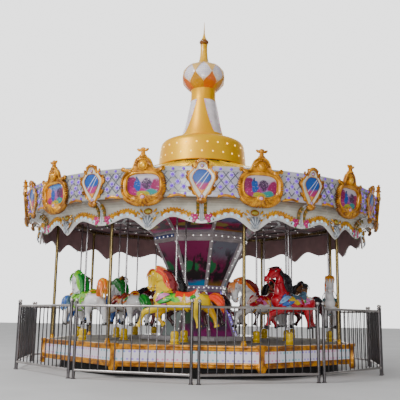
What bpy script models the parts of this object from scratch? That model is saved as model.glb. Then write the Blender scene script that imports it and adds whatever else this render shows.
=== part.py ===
"""A fairground carousel: a round platform with two rings of jumping horses under
a crown and turret, turning on a ground base inside a ring of fence panels.

Metres, +Z up. The origin is on the ground, on the turning axis. An azimuth is
counted from -Y (the front) towards +X. The horses travel clockwise seen from above.
"""

import math

import bmesh
import bpy
from mathutils import Matrix, Vector

# Running and seating gaps
SEAT_GAP = 0.0003
ROD_GAP = 0.0008

# Fence round the ride
FENCE_RADIUS = 3.88
FENCE_PANELS = 11
FENCE_PHASE = -1.0
POST_SPACING = 0.125
POST_RADIUS = 0.027
POST_HEIGHT = 1.26
BALL_RADIUS = 0.036
RAIL_SIZE = 0.038
TOP_RAIL_Z = 1.205
BOTTOM_RAIL_Z = 0.143
FENCE_BARS = 13
BAR_RADIUS = 0.012

# Ground base and pivot
BASE_RADIUS = 2.95
CURB_WIDTH = 0.06
CURB_HEIGHT = 0.17
BASE_HEIGHT = 0.03
PEDESTAL_RADIUS = 0.70
PIVOT_RADIUS = 0.16
PIVOT_SHOULDER_RADIUS = 0.26
PIVOT_END_GAP = 0.005
SOCKET_ROOF = 0.025

# Platform
SECTIONS = 8
DECK_PHASE = 18.46
RIM_RADIUS = 3.32
RIM_WALL = 0.05
TRIM_PROUD = 0.02
RIM_BOTTOM_Z = 0.192
LOWER_TRIM_TOP_Z = 0.285
UPPER_TRIM_BOTTOM_Z = 0.475
DECK_Z = 0.567
DECK_THICKNESS = 0.08
BRACKET_TIP_Z = 0.10
BRACKET_TOP_Z = 0.585
BRACKET_HALF_WIDTH = 0.085
BRACKET_PROUD = 0.05
STEP_RADIUS = 1.28
STEP_HEIGHT = 0.09

# Horses, their poles and their guide sleeves
OUTER_HORSE_RADIUS = 2.80
INNER_HORSE_RADIUS = 1.89
HORSE_PHASE = -9.0
HORSE_ROWS = 8
ROD_RADIUS = 0.019
ROD_BOTTOM_Z = 0.585
ROD_TOP_Z = 3.40
ROD_SIDES = 6
SLEEVE_RADIUS = 0.062
SLEEVE_TOP_Z = 0.775
LEG_SIDE = 0.09

# Outer poles and the beam that joins them
POLE_RADIUS = 0.032
POLE_RING_RADIUS = 3.15
POLE_PHASE = 13.9
POLE_BASE_RADIUS = 0.085
RING_BEAM_HEIGHT = 0.07
RING_BEAM_HALF_WIDTH = 0.045

# Centre housing
HOUSING_PHASE = 13.0
SKIRT_RADIUS = 0.89
WAIST_RADIUS = 0.52
WAIST_Z = 1.62
COLLAR_RADIUS = 1.03
COLLAR_Z = 2.68
COLLAR_PROUD = 0.03
COLLAR_BAND = 0.12
HOUSING_TOP_RADIUS = 1.42
HOUSING_WALL = 0.05

# Canopy
CEILING_Z = 3.12
CEILING_THICKNESS = 0.04
CEILING_HOLE_RADIUS = 0.032
CROWN_SECTIONS = 12
VALANCE_RADIUS = 3.52
VALANCE_WALL = 0.03
VALANCE_RIB_Z = 2.617
VALANCE_DROP_Z = 2.50
VALANCE_ARCH_Z = 2.73
VALANCE_COVE_Z = 2.85
VALANCE_FLARE_RADIUS = 3.75
CROWN_BOTTOM_RADIUS = 3.78
CROWN_BOTTOM_Z = 3.02
CROWN_TOP_RADIUS = 3.84
CROWN_TOP_Z = 3.525
CROWN_WALL = 0.05
CARTOUCHE_HALF_WIDTH = 0.40
CARTOUCHE_DEPTH = 0.07
DIAMOND_HALF_WIDTH = 0.235
DIAMOND_DEPTH = 0.06
ROOF_EDGE_Z = 3.47
ROOF_TOP_RADIUS = 0.98
ROOF_TOP_Z = 4.36
ROOF_WALL = 0.04

# Turret
DRUM_FOOT_RADIUS = 0.80
DRUM_BOTTOM_Z = 4.385
DRUM_RADIUS = 1.0
DRUM_SHOULDER_RADIUS = 0.95
DRUM_SHOULDER_Z = 4.93
TOWER_BOTTOM_RADIUS = 0.455
TOWER_BOTTOM_Z = 5.17
TOWER_TOP_RADIUS = 0.30
TOWER_TOP_Z = 5.99
NECK_RADIUS = 0.287
NECK_TOP_Z = 6.27
DOME_RADIUS = 0.488
DOME_WIDEST_Z = 6.62
DOME_TOP_Z = 6.95
DOME_TOP_RADIUS = 0.155
SPIRE_BALL_RADIUS = 0.11
SPIRE_BALL_Z = 7.49
SPIRE_TIP_Z = 8.02


def clear_scene():
    for obj in list(bpy.data.objects):
        bpy.data.objects.remove(obj)


def material(name, colour, roughness, metallic=0.0):
    made = bpy.data.materials.new(name)
    made.use_nodes = True
    shader = made.node_tree.nodes["Principled BSDF"]
    shader.inputs["Base Color"].default_value = (*colour, 1)
    shader.inputs["Roughness"].default_value = roughness
    shader.inputs["Metallic"].default_value = metallic
    return made


def at(radius, azimuth, z=0.0):
    """The point at this distance from the axis, azimuth in degrees and height."""
    turn = math.radians(azimuth)
    return Vector((radius * math.sin(turn), -radius * math.cos(turn), z))


def outward_frame(radius, azimuth, z=0.0):
    """A frame standing at a place on a circle: X along travel, Y outward, Z up."""
    turn = math.radians(azimuth)
    return Matrix.Translation(at(radius, azimuth, z)) @ Matrix.Rotation(
        math.pi + turn, 4, "Z"
    )


def mesh_from(build):
    """A new mesh filled by build(bm), with its faces turned outward."""
    bm = bmesh.new()
    build(bm)
    bmesh.ops.recalc_face_normals(bm, faces=bm.faces)
    mesh = bpy.data.meshes.new("mesh")
    bm.to_mesh(mesh)
    bm.free()
    return mesh


def add_object(name, mesh, finish):
    obj = bpy.data.objects.new(name, mesh)
    mesh.name = name
    mesh.materials.append(finish)
    bpy.context.scene.collection.objects.link(obj)
    return obj


def smooth(obj, angle=35):
    obj.data.shade_smooth()
    obj.data.set_sharp_from_angle(angle=math.radians(angle))


def loft(bm, rings, closed=False):
    """Joins rings of equal length by quads; an open loft gets end caps."""
    made = [[bm.verts.new(point) for point in ring] for ring in rings]
    pairs = list(zip(made, made[1:]))
    if closed:
        pairs.append((made[-1], made[0]))
    for low, high in pairs:
        for i in range(len(low)):
            j = (i + 1) % len(low)
            bm.faces.new((low[i], low[j], high[j], high[i]))
    if not closed:
        bm.faces.new(made[0][::-1])
        bm.faces.new(made[-1])


def turned_ring(bm, profile, sides, phase=0.0):
    """A ring whose section is the closed outline (radius, z)."""
    sections = []
    for k in range(sides):
        azimuth = phase + 360 * k / sides
        sections.append([at(radius, azimuth, z) for radius, z in profile])
    loft(bm, sections, closed=True)


def turned_solid(bm, profile, sides, phase=0.0, centre=(0, 0)):
    """A solid of levels (radius, z) from the bottom up; radius 0 makes a point."""
    shift = Vector((centre[0], centre[1], 0))
    levels = []
    for radius, z in profile:
        if radius == 0:
            levels.append([bm.verts.new(Vector((0, 0, z)) + shift)])
            continue
        azimuths = (phase + 360 * k / sides for k in range(sides))
        levels.append([bm.verts.new(at(radius, a, z) + shift) for a in azimuths])
    for low, high in zip(levels, levels[1:]):
        for i in range(sides):
            j = (i + 1) % sides
            if len(low) == 1:
                bm.faces.new((low[0], high[j], high[i]))
            elif len(high) == 1:
                bm.faces.new((low[i], low[j], high[0]))
            else:
                bm.faces.new((low[i], low[j], high[j], high[i]))
    for end in (levels[0], levels[-1]):
        if len(end) > 1:
            bm.faces.new(end)


def turned_part(name, profile, sides, finish, phase=0.0):
    made = add_object(name, mesh_from(lambda bm: turned_solid(bm, profile, sides, phase)), finish)
    smooth(made)
    return made


def plate(bm, outline, depth, frame):
    """A flat plate: the outline (along, up) pushed from depth[0] to depth[1] outward."""
    rings = []
    for out in depth:
        rings.append([frame @ Vector((along, out, up)) for along, up in outline])
    loft(bm, rings)


def box(bm, low, high, frame=Matrix.Identity(4)):
    corners = ((low[0], low[1]), (high[0], low[1]), (high[0], high[1]), (low[0], high[1]))
    loft(bm, [[frame @ Vector((x, y, z)) for x, y in corners] for z in (low[2], high[2])])


def helper(name, build):
    """A hidden shape that a Boolean adds or cuts away."""
    obj = bpy.data.objects.new(name, mesh_from(build))
    bpy.context.scene.collection.objects.link(obj)
    obj.hide_render = True
    obj.display_type = "WIRE"
    return obj


def combine(obj, other, operation):
    modifier = obj.modifiers.new(other.name, "BOOLEAN")
    modifier.operation = operation
    modifier.solver = "EXACT"
    modifier.object = other


def clear_of(radius, sides):
    """Corner radius of a polygon whose flats stay outside this radius."""
    return radius / math.cos(math.pi / sides)


def horse_places():
    """(name, radius, azimuth) of every horse, the outer ring first."""
    places = []
    for ring, radius in (("outer", OUTER_HORSE_RADIUS), ("inner", INNER_HORSE_RADIUS)):
        for row in range(HORSE_ROWS):
            azimuth = HORSE_PHASE + 360 / HORSE_ROWS * row
            places.append((f"horse_{ring}_{row + 1}", radius, azimuth))
    return places


def pole_azimuths():
    return [POLE_PHASE + 360 / SECTIONS * k for k in range(SECTIONS)]


# Fence


def panel_ends(index):
    """The two posts of one panel, on the chord between its pairs of posts."""
    step = 360 / FENCE_PANELS
    first = at(FENCE_RADIUS, FENCE_PHASE + step * index)
    last = at(FENCE_RADIUS, FENCE_PHASE + step * (index + 1))
    along = (last - first).normalized()
    inset = along * POST_SPACING / 2
    return first + inset, last - inset


def fence_panel(index, finish):
    start, end = panel_ends(index)
    length = (end - start).length
    heading = math.atan2(end.y - start.y, end.x - start.x)
    half = RAIL_SIZE / 2

    def posts(bm):
        profile = (
            (POST_RADIUS, 0),
            (POST_RADIUS, POST_HEIGHT),
            (BALL_RADIUS, POST_HEIGHT + BALL_RADIUS),
            (BALL_RADIUS * 0.6, POST_HEIGHT + BALL_RADIUS * 1.8),
        )
        for x in (0, length):
            turned_solid(bm, profile, 6, centre=(x, 0))

    def rails(bm):
        for z in (BOTTOM_RAIL_Z, TOP_RAIL_Z):
            box(bm, (0, -half, z - half), (length, half, z + half))

    def bars(bm):
        for i in range(FENCE_BARS):
            x = length * (i + 1) / (FENCE_BARS + 1)
            levels = ((BAR_RADIUS, BOTTOM_RAIL_Z), (BAR_RADIUS, TOP_RAIL_Z))
            turned_solid(bm, levels, 3, centre=(x, 0))

    panel = add_object(f"fence_panel_{index + 1:02d}", mesh_from(posts), finish)
    combine(panel, helper(f"rails_{index}", rails), "UNION")
    combine(panel, helper(f"bars_{index}", bars), "UNION")
    panel.location = start
    panel.rotation_euler.z = heading
    for modifier in panel.modifiers:
        modifier.object.parent = panel
    return panel


# Ground base


def ground_base(finish):
    """Round base with a raised curb, and the pedestal and pivot that carry the platform."""
    underside = DECK_Z - DECK_THICKNESS - SEAT_GAP
    profile = (
        (BASE_RADIUS, 0),
        (BASE_RADIUS, CURB_HEIGHT),
        (BASE_RADIUS - CURB_WIDTH, CURB_HEIGHT),
        (BASE_RADIUS - CURB_WIDTH, BASE_HEIGHT),
        (PEDESTAL_RADIUS, BASE_HEIGHT + 0.02),
        (PIVOT_SHOULDER_RADIUS, BASE_HEIGHT + 0.10),
        (PIVOT_SHOULDER_RADIUS, underside),
        (PIVOT_RADIUS, underside),
        (PIVOT_RADIUS, DECK_Z - SOCKET_ROOF - PIVOT_END_GAP),
    )
    return turned_part("ground_base", profile, 24, finish)


# Platform


def deck(finish):
    bottom = DECK_Z - DECK_THICKNESS
    inner_edge = RIM_RADIUS - RIM_WALL - SEAT_GAP

    def octagon(bm):
        turned_solid(bm, ((inner_edge, bottom), (inner_edge, DECK_Z)), SECTIONS, DECK_PHASE)

    def pivot_socket(bm):
        bore = clear_of(PIVOT_RADIUS + ROD_GAP, 16)
        turned_solid(bm, ((bore, bottom - 0.1), (bore, DECK_Z - SOCKET_ROOF)), 16)

    def sleeves(bm):
        for _, radius, azimuth in horse_places():
            spot = at(radius, azimuth)
            levels = ((SLEEVE_RADIUS, DECK_Z - 0.02), (SLEEVE_RADIUS, SLEEVE_TOP_Z))
            turned_solid(bm, levels, ROD_SIDES, azimuth, (spot.x, spot.y))

    def bores(bm):
        bore = ROD_RADIUS + ROD_GAP
        for _, radius, azimuth in horse_places():
            spot = at(radius, azimuth)
            levels = ((bore, bottom - 0.05), (bore, SLEEVE_TOP_Z + 0.05))
            turned_solid(bm, levels, ROD_SIDES, azimuth, (spot.x, spot.y))

    made = add_object("deck", mesh_from(octagon), finish)
    combine(made, helper("sleeves", sleeves), "UNION")
    combine(made, helper("pivot_socket", pivot_socket), "DIFFERENCE")
    combine(made, helper("rod_bores", bores), "DIFFERENCE")
    return made


def deck_rim(finish):
    inner = RIM_RADIUS - RIM_WALL
    proud = RIM_RADIUS + TRIM_PROUD

    def band(bm):
        profile = (
            (inner, RIM_BOTTOM_Z),
            (proud, RIM_BOTTOM_Z),
            (proud, LOWER_TRIM_TOP_Z),
            (RIM_RADIUS, LOWER_TRIM_TOP_Z),
            (RIM_RADIUS, UPPER_TRIM_BOTTOM_Z),
            (proud, UPPER_TRIM_BOTTOM_Z),
            (proud, DECK_Z),
            (inner, DECK_Z),
        )
        turned_ring(bm, profile, SECTIONS, DECK_PHASE)

    def brackets(bm):
        w = BRACKET_HALF_WIDTH
        outline = (
            (0, BRACKET_TIP_Z),
            (w, BRACKET_TIP_Z + 0.10),
            (w * 0.6, BRACKET_TIP_Z + 0.17),
            (w, BRACKET_TOP_Z),
            (-w, BRACKET_TOP_Z),
            (-w * 0.6, BRACKET_TIP_Z + 0.17),
            (-w, BRACKET_TIP_Z + 0.10),
        )
        for k in range(SECTIONS):
            frame = outward_frame(RIM_RADIUS, DECK_PHASE + 360 / SECTIONS * k)
            plate(bm, outline, (-0.04, BRACKET_PROUD), frame)

    made = add_object("deck_rim", mesh_from(band), finish)
    combine(made, helper("brackets", brackets), "UNION")
    return made


def centre_step(finish):
    def step(bm):
        low = DECK_Z + SEAT_GAP
        inner = SKIRT_RADIUS + SEAT_GAP
        profile = (
            (inner, low),
            (STEP_RADIUS, low),
            (STEP_RADIUS, DECK_Z + STEP_HEIGHT),
            (inner, DECK_Z + STEP_HEIGHT),
        )
        turned_ring(bm, profile, SECTIONS, HOUSING_PHASE)

    return add_object("centre_step", mesh_from(step), finish)


# Horses


def horse_sections():
    """Body from the croup to the muzzle: (forward, height, half width, half depth, pitch).

    Forward is from the pole, height from the ground, pitch the lean in degrees of
    the section from upright, forward positive.
    """
    return (
        (-0.620, 1.300, 0.060, 0.075, 10),
        (-0.540, 1.310, 0.150, 0.135, 5),
        (-0.220, 1.290, 0.160, 0.142, 0),
        (0.140, 1.300, 0.155, 0.150, -10),
        (0.250, 1.395, 0.120, 0.158, -50),
        (0.245, 1.545, 0.085, 0.130, -85),
        (0.240, 1.680, 0.070, 0.090, -65),
        (0.300, 1.770, 0.065, 0.105, -25),
        (0.415, 1.745, 0.060, 0.100, 35),
        (0.455, 1.620, 0.050, 0.070, 72),
        (0.455, 1.520, 0.045, 0.055, 80),
    )


def oval(centre_x, centre_z, half_width, half_depth, pitch, sides):
    """An oval section across the horse, its depth leaning by pitch in the X-Z plane."""
    lean = math.radians(pitch)
    up = Vector((math.sin(lean), 0, math.cos(lean)))
    ring = []
    for k in range(sides):
        turn = 2 * math.pi * (k + 0.5) / sides
        side = Vector((0, half_width * math.sin(turn), 0))
        ring.append(Vector((centre_x, 0, centre_z)) + side + up * half_depth * math.cos(turn))
    return ring


def limb(bm, points, sides=3):
    """A leg or tail through (forward, side, height, radius)."""
    rings = []
    for k, (x, y, z, radius) in enumerate(points):
        before = Vector(points[max(k - 1, 0)][:3])
        after = Vector(points[min(k + 1, len(points) - 1)][:3])
        along = (after - before).normalized()
        across = along.cross(Vector((0, 1, 0))).normalized()
        ring = []
        for i in range(sides):
            turn = 2 * math.pi * (i + 0.5) / sides
            offset = across * math.cos(turn) + Vector((0, 1, 0)) * math.sin(turn)
            ring.append(Vector((x, y, z)) + offset * radius)
        rings.append(ring)
    loft(bm, rings)


def horse_mesh():
    """One horse with its pole, at its place above the ground, pole on the origin."""

    def body(bm):
        loft(bm, [oval(*section, 6) for section in horse_sections()])

    def legs(bm):
        s = LEG_SIDE
        limb(bm, ((0.22, s, 1.28, 0.08), (0.52, s, 1.13, 0.05), (0.62, s, 0.89, 0.04)))
        limb(bm, ((0.18, -s, 1.28, 0.08), (0.34, -s, 1.06, 0.05), (0.24, -s, 0.91, 0.04)))
        limb(bm, ((-0.46, s, 1.28, 0.10), (-0.38, s, 1.08, 0.055), (-0.44, s, 0.89, 0.04)))
        limb(bm, ((-0.52, -s, 1.28, 0.10), (-0.63, -s, 1.07, 0.055), (-0.72, -s, 0.90, 0.04)))

    def tail(bm):
        limb(bm, ((-0.56, 0, 1.37, 0.05), (-0.72, 0, 1.33, 0.075), (-0.87, 0, 1.20, 0.03)))

    def saddle(bm):
        outline = ((-0.03, 1.34), (-0.05, 1.465), (-0.26, 1.46), (-0.38, 1.54), (-0.41, 1.34))
        plate(bm, outline, (-0.13, 0.13), Matrix.Identity(4))

    def rod(bm):
        turned_solid(bm, ((ROD_RADIUS, ROD_BOTTOM_Z), (ROD_RADIUS, ROD_TOP_Z)), ROD_SIDES)

    whole = helper("horse_body", body)
    for build in (legs, tail, saddle, rod):
        combine(whole, helper(build.__name__, build), "UNION")
    graph = bpy.context.evaluated_depsgraph_get()
    mesh = bpy.data.meshes.new_from_object(whole.evaluated_get(graph))
    for modifier in list(whole.modifiers):
        bpy.data.objects.remove(modifier.object)
    bpy.data.objects.remove(whole)
    return mesh


def horses(finish):
    mesh = horse_mesh()
    mesh.materials.clear()
    mesh.materials.append(finish)
    mesh.shade_smooth()
    mesh.set_sharp_from_angle(angle=math.radians(50))
    for name, radius, azimuth in horse_places():
        obj = bpy.data.objects.new(name, mesh)
        bpy.context.scene.collection.objects.link(obj)
        obj.matrix_world = outward_frame(radius, azimuth)


# Poles and centre housing


def pole_frame(finish):
    def beam(bm):
        inner = POLE_RING_RADIUS - RING_BEAM_HALF_WIDTH
        outer = POLE_RING_RADIUS + RING_BEAM_HALF_WIDTH
        high = CEILING_Z - SEAT_GAP
        low = high - RING_BEAM_HEIGHT
        profile = ((inner, low), (outer, low), (outer, high), (inner, high))
        turned_ring(bm, profile, SECTIONS, POLE_PHASE)

    def poles(bm):
        foot = DECK_Z + SEAT_GAP
        profile = (
            (POLE_BASE_RADIUS, foot),
            (POLE_BASE_RADIUS, foot + 0.03),
            (POLE_RADIUS, foot + 0.10),
            (POLE_RADIUS, CEILING_Z - RING_BEAM_HEIGHT / 2),
        )
        for azimuth in pole_azimuths():
            spot = at(POLE_RING_RADIUS, azimuth)
            turned_solid(bm, profile, 6, azimuth, (spot.x, spot.y))

    made = add_object("pole_frame", mesh_from(beam), finish)
    combine(made, helper("poles", poles), "UNION")
    return made


def centre_skirt(finish):
    def skirt(bm):
        low = DECK_Z + SEAT_GAP
        wall = HOUSING_WALL
        profile = (
            (SKIRT_RADIUS - wall, low),
            (SKIRT_RADIUS, low),
            (WAIST_RADIUS, WAIST_Z),
            (WAIST_RADIUS - wall, WAIST_Z),
        )
        turned_ring(bm, profile, SECTIONS, HOUSING_PHASE)

    return add_object("centre_skirt", mesh_from(skirt), finish)


def centre_cone(finish):
    def cone(bm):
        wall = HOUSING_WALL
        low = WAIST_Z + SEAT_GAP
        profile = (
            (WAIST_RADIUS - wall, low),
            (WAIST_RADIUS, low),
            (COLLAR_RADIUS, COLLAR_Z),
            (COLLAR_RADIUS - wall, COLLAR_Z),
        )
        turned_ring(bm, profile, SECTIONS, HOUSING_PHASE)

    return add_object("centre_cone", mesh_from(cone), finish)


def centre_collar(finish):
    def collar(bm):
        wall = HOUSING_WALL
        low = COLLAR_Z + SEAT_GAP
        high = CEILING_Z - SEAT_GAP
        profile = (
            (COLLAR_RADIUS - wall, low),
            (COLLAR_RADIUS + COLLAR_PROUD, low),
            (COLLAR_RADIUS + COLLAR_PROUD, low + COLLAR_BAND),
            (HOUSING_TOP_RADIUS, high),
            (HOUSING_TOP_RADIUS - wall, high),
            (COLLAR_RADIUS - wall, low + COLLAR_BAND),
        )
        turned_ring(bm, profile, SECTIONS, HOUSING_PHASE)

    return add_object("centre_collar", mesh_from(collar), finish)


# Canopy


def ceiling(finish):
    def disc(bm):
        radius = VALANCE_RADIUS - VALANCE_WALL - SEAT_GAP
        levels = ((radius, CEILING_Z), (radius, CEILING_Z + CEILING_THICKNESS))
        turned_solid(bm, levels, 24)

    def holes(bm):
        hole = CEILING_HOLE_RADIUS
        levels = ((hole, CEILING_Z - 0.1), (hole, CEILING_Z + 0.2))
        for _, radius, azimuth in horse_places():
            spot = at(radius, azimuth)
            turned_solid(bm, levels, 6, azimuth, (spot.x, spot.y))

    made = add_object("ceiling", mesh_from(disc), finish)
    combine(made, helper("ceiling_holes", holes), "DIFFERENCE")
    return made


def scallop_z(azimuth):
    """Lower edge of the valance: ribs at 0, 30 ..., drops half-way, arches between."""
    step = 360 / CROWN_SECTIONS
    share = (azimuth % step) / step
    ends = (VALANCE_RIB_Z, VALANCE_DROP_Z) if share < 0.5 else (VALANCE_DROP_Z, VALANCE_RIB_Z)
    along = (share % 0.5) * 2
    base = ends[0] + (ends[1] - ends[0]) * along
    arch = math.sin(math.pi * along) ** 0.8
    return base + (VALANCE_ARCH_Z - base) * arch


def valance(finish):
    def band(bm):
        outer, inner = VALANCE_RADIUS, VALANCE_RADIUS - VALANCE_WALL
        top = CROWN_BOTTOM_Z - SEAT_GAP
        flare = VALANCE_FLARE_RADIUS
        sections = []
        steps = CROWN_SECTIONS * 6
        for k in range(steps):
            azimuth = 360 * k / steps
            low = scallop_z(azimuth)
            profile = (
                (inner, low),
                (outer, low),
                (outer, VALANCE_COVE_Z),
                (flare, top),
                (flare - 0.03, top),
                (inner, CEILING_Z + CEILING_THICKNESS),
            )
            sections.append([at(r, azimuth, z) for r, z in profile])
        loft(bm, sections, closed=True)

    made = add_object("valance", mesh_from(band), finish)
    smooth(made)
    return made


def crown_radius(z):
    """Outer radius of the crown board at this height: it leans outward."""
    share = (z - CROWN_BOTTOM_Z) / (CROWN_TOP_Z - CROWN_BOTTOM_Z)
    return CROWN_BOTTOM_RADIUS + (CROWN_TOP_RADIUS - CROWN_BOTTOM_RADIUS) * share


def mirrored(half):
    """A closed outline from its right half, given from the bottom point up."""
    return half + tuple((-x, z) for x, z in reversed(half) if x > 0)


def crown_plates(bm, outline, first_azimuth, depth):
    """Plates round the crown that lean out with the board; heights from its foot."""
    lean = math.atan2(CROWN_TOP_RADIUS - CROWN_BOTTOM_RADIUS, CROWN_TOP_Z - CROWN_BOTTOM_Z)
    for k in range(CROWN_SECTIONS):
        azimuth = first_azimuth + 360 / CROWN_SECTIONS * k
        frame = outward_frame(CROWN_BOTTOM_RADIUS, azimuth, CROWN_BOTTOM_Z)
        plate(bm, outline, (-0.02, depth), frame @ Matrix.Rotation(-lean, 4, "X"))


def crown_board(finish):
    def board(bm):
        low, high = CROWN_BOTTOM_Z, CROWN_TOP_Z
        profile = (
            (CROWN_BOTTOM_RADIUS - CROWN_WALL, low),
            (CROWN_BOTTOM_RADIUS, low),
            (CROWN_TOP_RADIUS, high),
            (CROWN_TOP_RADIUS - CROWN_WALL, high),
        )
        turned_ring(bm, profile, 48)

    def cartouches(bm):
        w = CARTOUCHE_HALF_WIDTH
        half = (
            (0, -0.12),
            (w, 0.06),
            (w, 0.48),
            (w * 0.35, 0.65),
            (w * 0.2, 0.80),
        )
        crown_plates(bm, mirrored(half), 15, CARTOUCHE_DEPTH)

    def diamonds(bm):
        w = DIAMOND_HALF_WIDTH
        half = ((0, -0.09), (w * 0.5, 0.03), (w, 0.31), (w * 0.5, 0.53), (0, 0.63))
        crown_plates(bm, mirrored(half), 0, DIAMOND_DEPTH)

    made = add_object("crown_board", mesh_from(board), finish)
    combine(made, helper("cartouches", cartouches), "UNION")
    combine(made, helper("diamonds", diamonds), "UNION")
    smooth(made)
    return made


def roof(finish):
    def cone(bm):
        edge = crown_radius(ROOF_EDGE_Z - ROOF_WALL) - CROWN_WALL - SEAT_GAP
        profile = (
            (edge, ROOF_EDGE_Z - ROOF_WALL),
            (edge, ROOF_EDGE_Z),
            (ROOF_TOP_RADIUS, ROOF_TOP_Z),
            (DRUM_FOOT_RADIUS - 0.15, ROOF_TOP_Z),
            (DRUM_FOOT_RADIUS - 0.15, ROOF_TOP_Z - ROOF_WALL),
        )
        turned_ring(bm, profile, 24)

    made = add_object("roof", mesh_from(cone), finish)
    smooth(made)
    return made


# Turret


def drum(finish):
    profile = (
        (DRUM_FOOT_RADIUS, ROOF_TOP_Z + SEAT_GAP),
        (DRUM_FOOT_RADIUS, DRUM_BOTTOM_Z),
        (DRUM_RADIUS, DRUM_BOTTOM_Z),
        (DRUM_SHOULDER_RADIUS, DRUM_SHOULDER_Z),
        (DRUM_SHOULDER_RADIUS - 0.10, DRUM_SHOULDER_Z + 0.07),
        (TOWER_BOTTOM_RADIUS + 0.2, DRUM_SHOULDER_Z + 0.13),
        (TOWER_BOTTOM_RADIUS + 0.05, TOWER_BOTTOM_Z - SEAT_GAP),
    )
    return turned_part("turret_drum", profile, 24, finish)


def tower(finish):
    profile = ((TOWER_BOTTOM_RADIUS, TOWER_BOTTOM_Z), (TOWER_TOP_RADIUS, TOWER_TOP_Z))
    return turned_part("turret_tower", profile, 16, finish, 11.25)


def neck(finish):
    low = TOWER_TOP_Z + SEAT_GAP
    profile = ((NECK_RADIUS, low), (NECK_RADIUS, NECK_TOP_Z))
    return turned_part("turret_neck", profile, 16, finish)


def dome(finish):
    low = NECK_TOP_Z + SEAT_GAP
    profile = (
        (NECK_RADIUS + 0.01, low),
        (DOME_RADIUS * 0.86, low + 0.12),
        (DOME_RADIUS, DOME_WIDEST_Z),
        (DOME_RADIUS * 0.93, DOME_WIDEST_Z + 0.13),
        (DOME_RADIUS * 0.66, DOME_WIDEST_Z + 0.25),
        (DOME_TOP_RADIUS, DOME_TOP_Z),
    )
    return turned_part("onion_dome", profile, 16, finish)


def spire(finish):
    low = DOME_TOP_Z + SEAT_GAP
    ball = SPIRE_BALL_RADIUS
    profile = (
        (DOME_TOP_RADIUS, low),
        (0.085, SPIRE_BALL_Z - 0.07),
        (ball, SPIRE_BALL_Z - 0.03),
        (ball, SPIRE_BALL_Z + 0.03),
        (0.03, SPIRE_BALL_Z + 0.14),
        (0, SPIRE_TIP_Z),
    )
    return turned_part("spire", profile, 12, finish)


def main():
    clear_scene()
    steel = material("stainless_steel", (0.62, 0.63, 0.65), 0.3, 1.0)
    black = material("black_paint", (0.02, 0.02, 0.025), 0.5)
    deck_grey = material("deck_plate", (0.42, 0.42, 0.45), 0.45)
    white = material("white_enamel", (0.86, 0.84, 0.86), 0.35)
    gold = material("gold_paint", (0.85, 0.55, 0.12), 0.35, 0.5)
    bronze = material("bronze_pole", (0.45, 0.33, 0.18), 0.3, 0.9)
    magenta = material("magenta_panel", (0.42, 0.05, 0.22), 0.4)
    maroon = material("maroon_ceiling", (0.16, 0.07, 0.09), 0.6)
    cream = material("cream_board", (0.80, 0.76, 0.68), 0.4)
    yellow = material("yellow_roof", (0.95, 0.75, 0.10), 0.35)
    horse_paint = material("horse_enamel", (0.92, 0.75, 0.05), 0.3)

    for index in range(FENCE_PANELS):
        fence_panel(index, steel)
    ground_base(black)
    deck(deck_grey)
    deck_rim(gold)
    centre_step(white)
    horses(horse_paint)
    pole_frame(bronze)
    centre_skirt(magenta)
    centre_cone(magenta)
    centre_collar(maroon)
    ceiling(maroon)
    valance(cream)
    crown_board(white)
    roof(yellow)
    drum(yellow)
    tower(gold)
    neck(gold)
    dome(gold)
    spire(gold)


main()
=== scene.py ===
# A fairground carousel with sixteen rising horses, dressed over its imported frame.
# Metres, +Z up. Azimuths count from the front (-Y) towards +X; the horses travel clockwise from above.
from math import atan2, copysign, cos, degrees, hypot, pi, radians, sin

import bmesh
import bpy
from mathutils import Matrix, Vector


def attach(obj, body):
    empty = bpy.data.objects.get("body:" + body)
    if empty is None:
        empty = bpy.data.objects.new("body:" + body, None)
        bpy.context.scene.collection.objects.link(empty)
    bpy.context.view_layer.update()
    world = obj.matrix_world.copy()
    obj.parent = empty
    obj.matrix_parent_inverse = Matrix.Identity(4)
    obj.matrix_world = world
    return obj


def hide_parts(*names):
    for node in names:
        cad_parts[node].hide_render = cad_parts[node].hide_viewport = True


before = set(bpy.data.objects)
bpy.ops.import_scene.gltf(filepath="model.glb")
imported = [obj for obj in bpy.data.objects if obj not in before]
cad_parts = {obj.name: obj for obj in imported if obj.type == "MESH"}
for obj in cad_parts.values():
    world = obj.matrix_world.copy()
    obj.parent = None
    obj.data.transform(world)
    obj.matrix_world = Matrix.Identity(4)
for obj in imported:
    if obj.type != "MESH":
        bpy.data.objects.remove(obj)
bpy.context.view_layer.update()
print("frame loaded")

# the crown repeats in twelve bays, and parts that stand on each other keep this much apart
bays = 12
clearance = 0.0003


# Places and curves


def at(x, y, z):
    return Vector((x, y, z))


def polar(radius, azimuth, height=0.0):
    turn = radians(azimuth)
    return at(radius * sin(turn), -radius * cos(turn), height)


def outward(radius, azimuth, height=0.0, lean=0.0):
    # X along the horses' travel, Y outward, Z up; lean tips Z outward, in radians
    turn = Matrix.Rotation(pi + radians(azimuth), 4, "Z")
    return Matrix.Translation(polar(radius, azimuth, height)) @ turn @ Matrix.Rotation(-lean, 4, "X")


def around(count, start=0.0):
    return [start + 360 / count * k for k in range(count)]


def through(points, count):
    # a smooth open curve through the points, read at count places
    spots = [Vector(p) for p in points]
    spots = [spots[0] * 2 - spots[1]] + spots + [spots[-1] * 2 - spots[-2]]
    made = []
    for k in range(count):
        along = (len(points) - 1) * k / (count - 1)
        i = min(int(along), len(points) - 2)
        t = along - i
        a, b, c, d = spots[i : i + 4]
        made.append(0.5 * (2 * b + (c - a) * t + (2 * a - 5 * b + 4 * c - d) * t * t
                           + (3 * b - a - 3 * c + d) * t ** 3))
    return made


def pushed(path, out):
    # the path, moved out from the surface it lies on
    return [p + at(0, out, 0) for p in path]


def hoop(place, y, z, wide, high, count):
    # an upright oval about (0, y, z)
    return [place @ at(wide * cos(a), y, z + high * sin(a)) for a in map(radians, around(count))]


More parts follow.
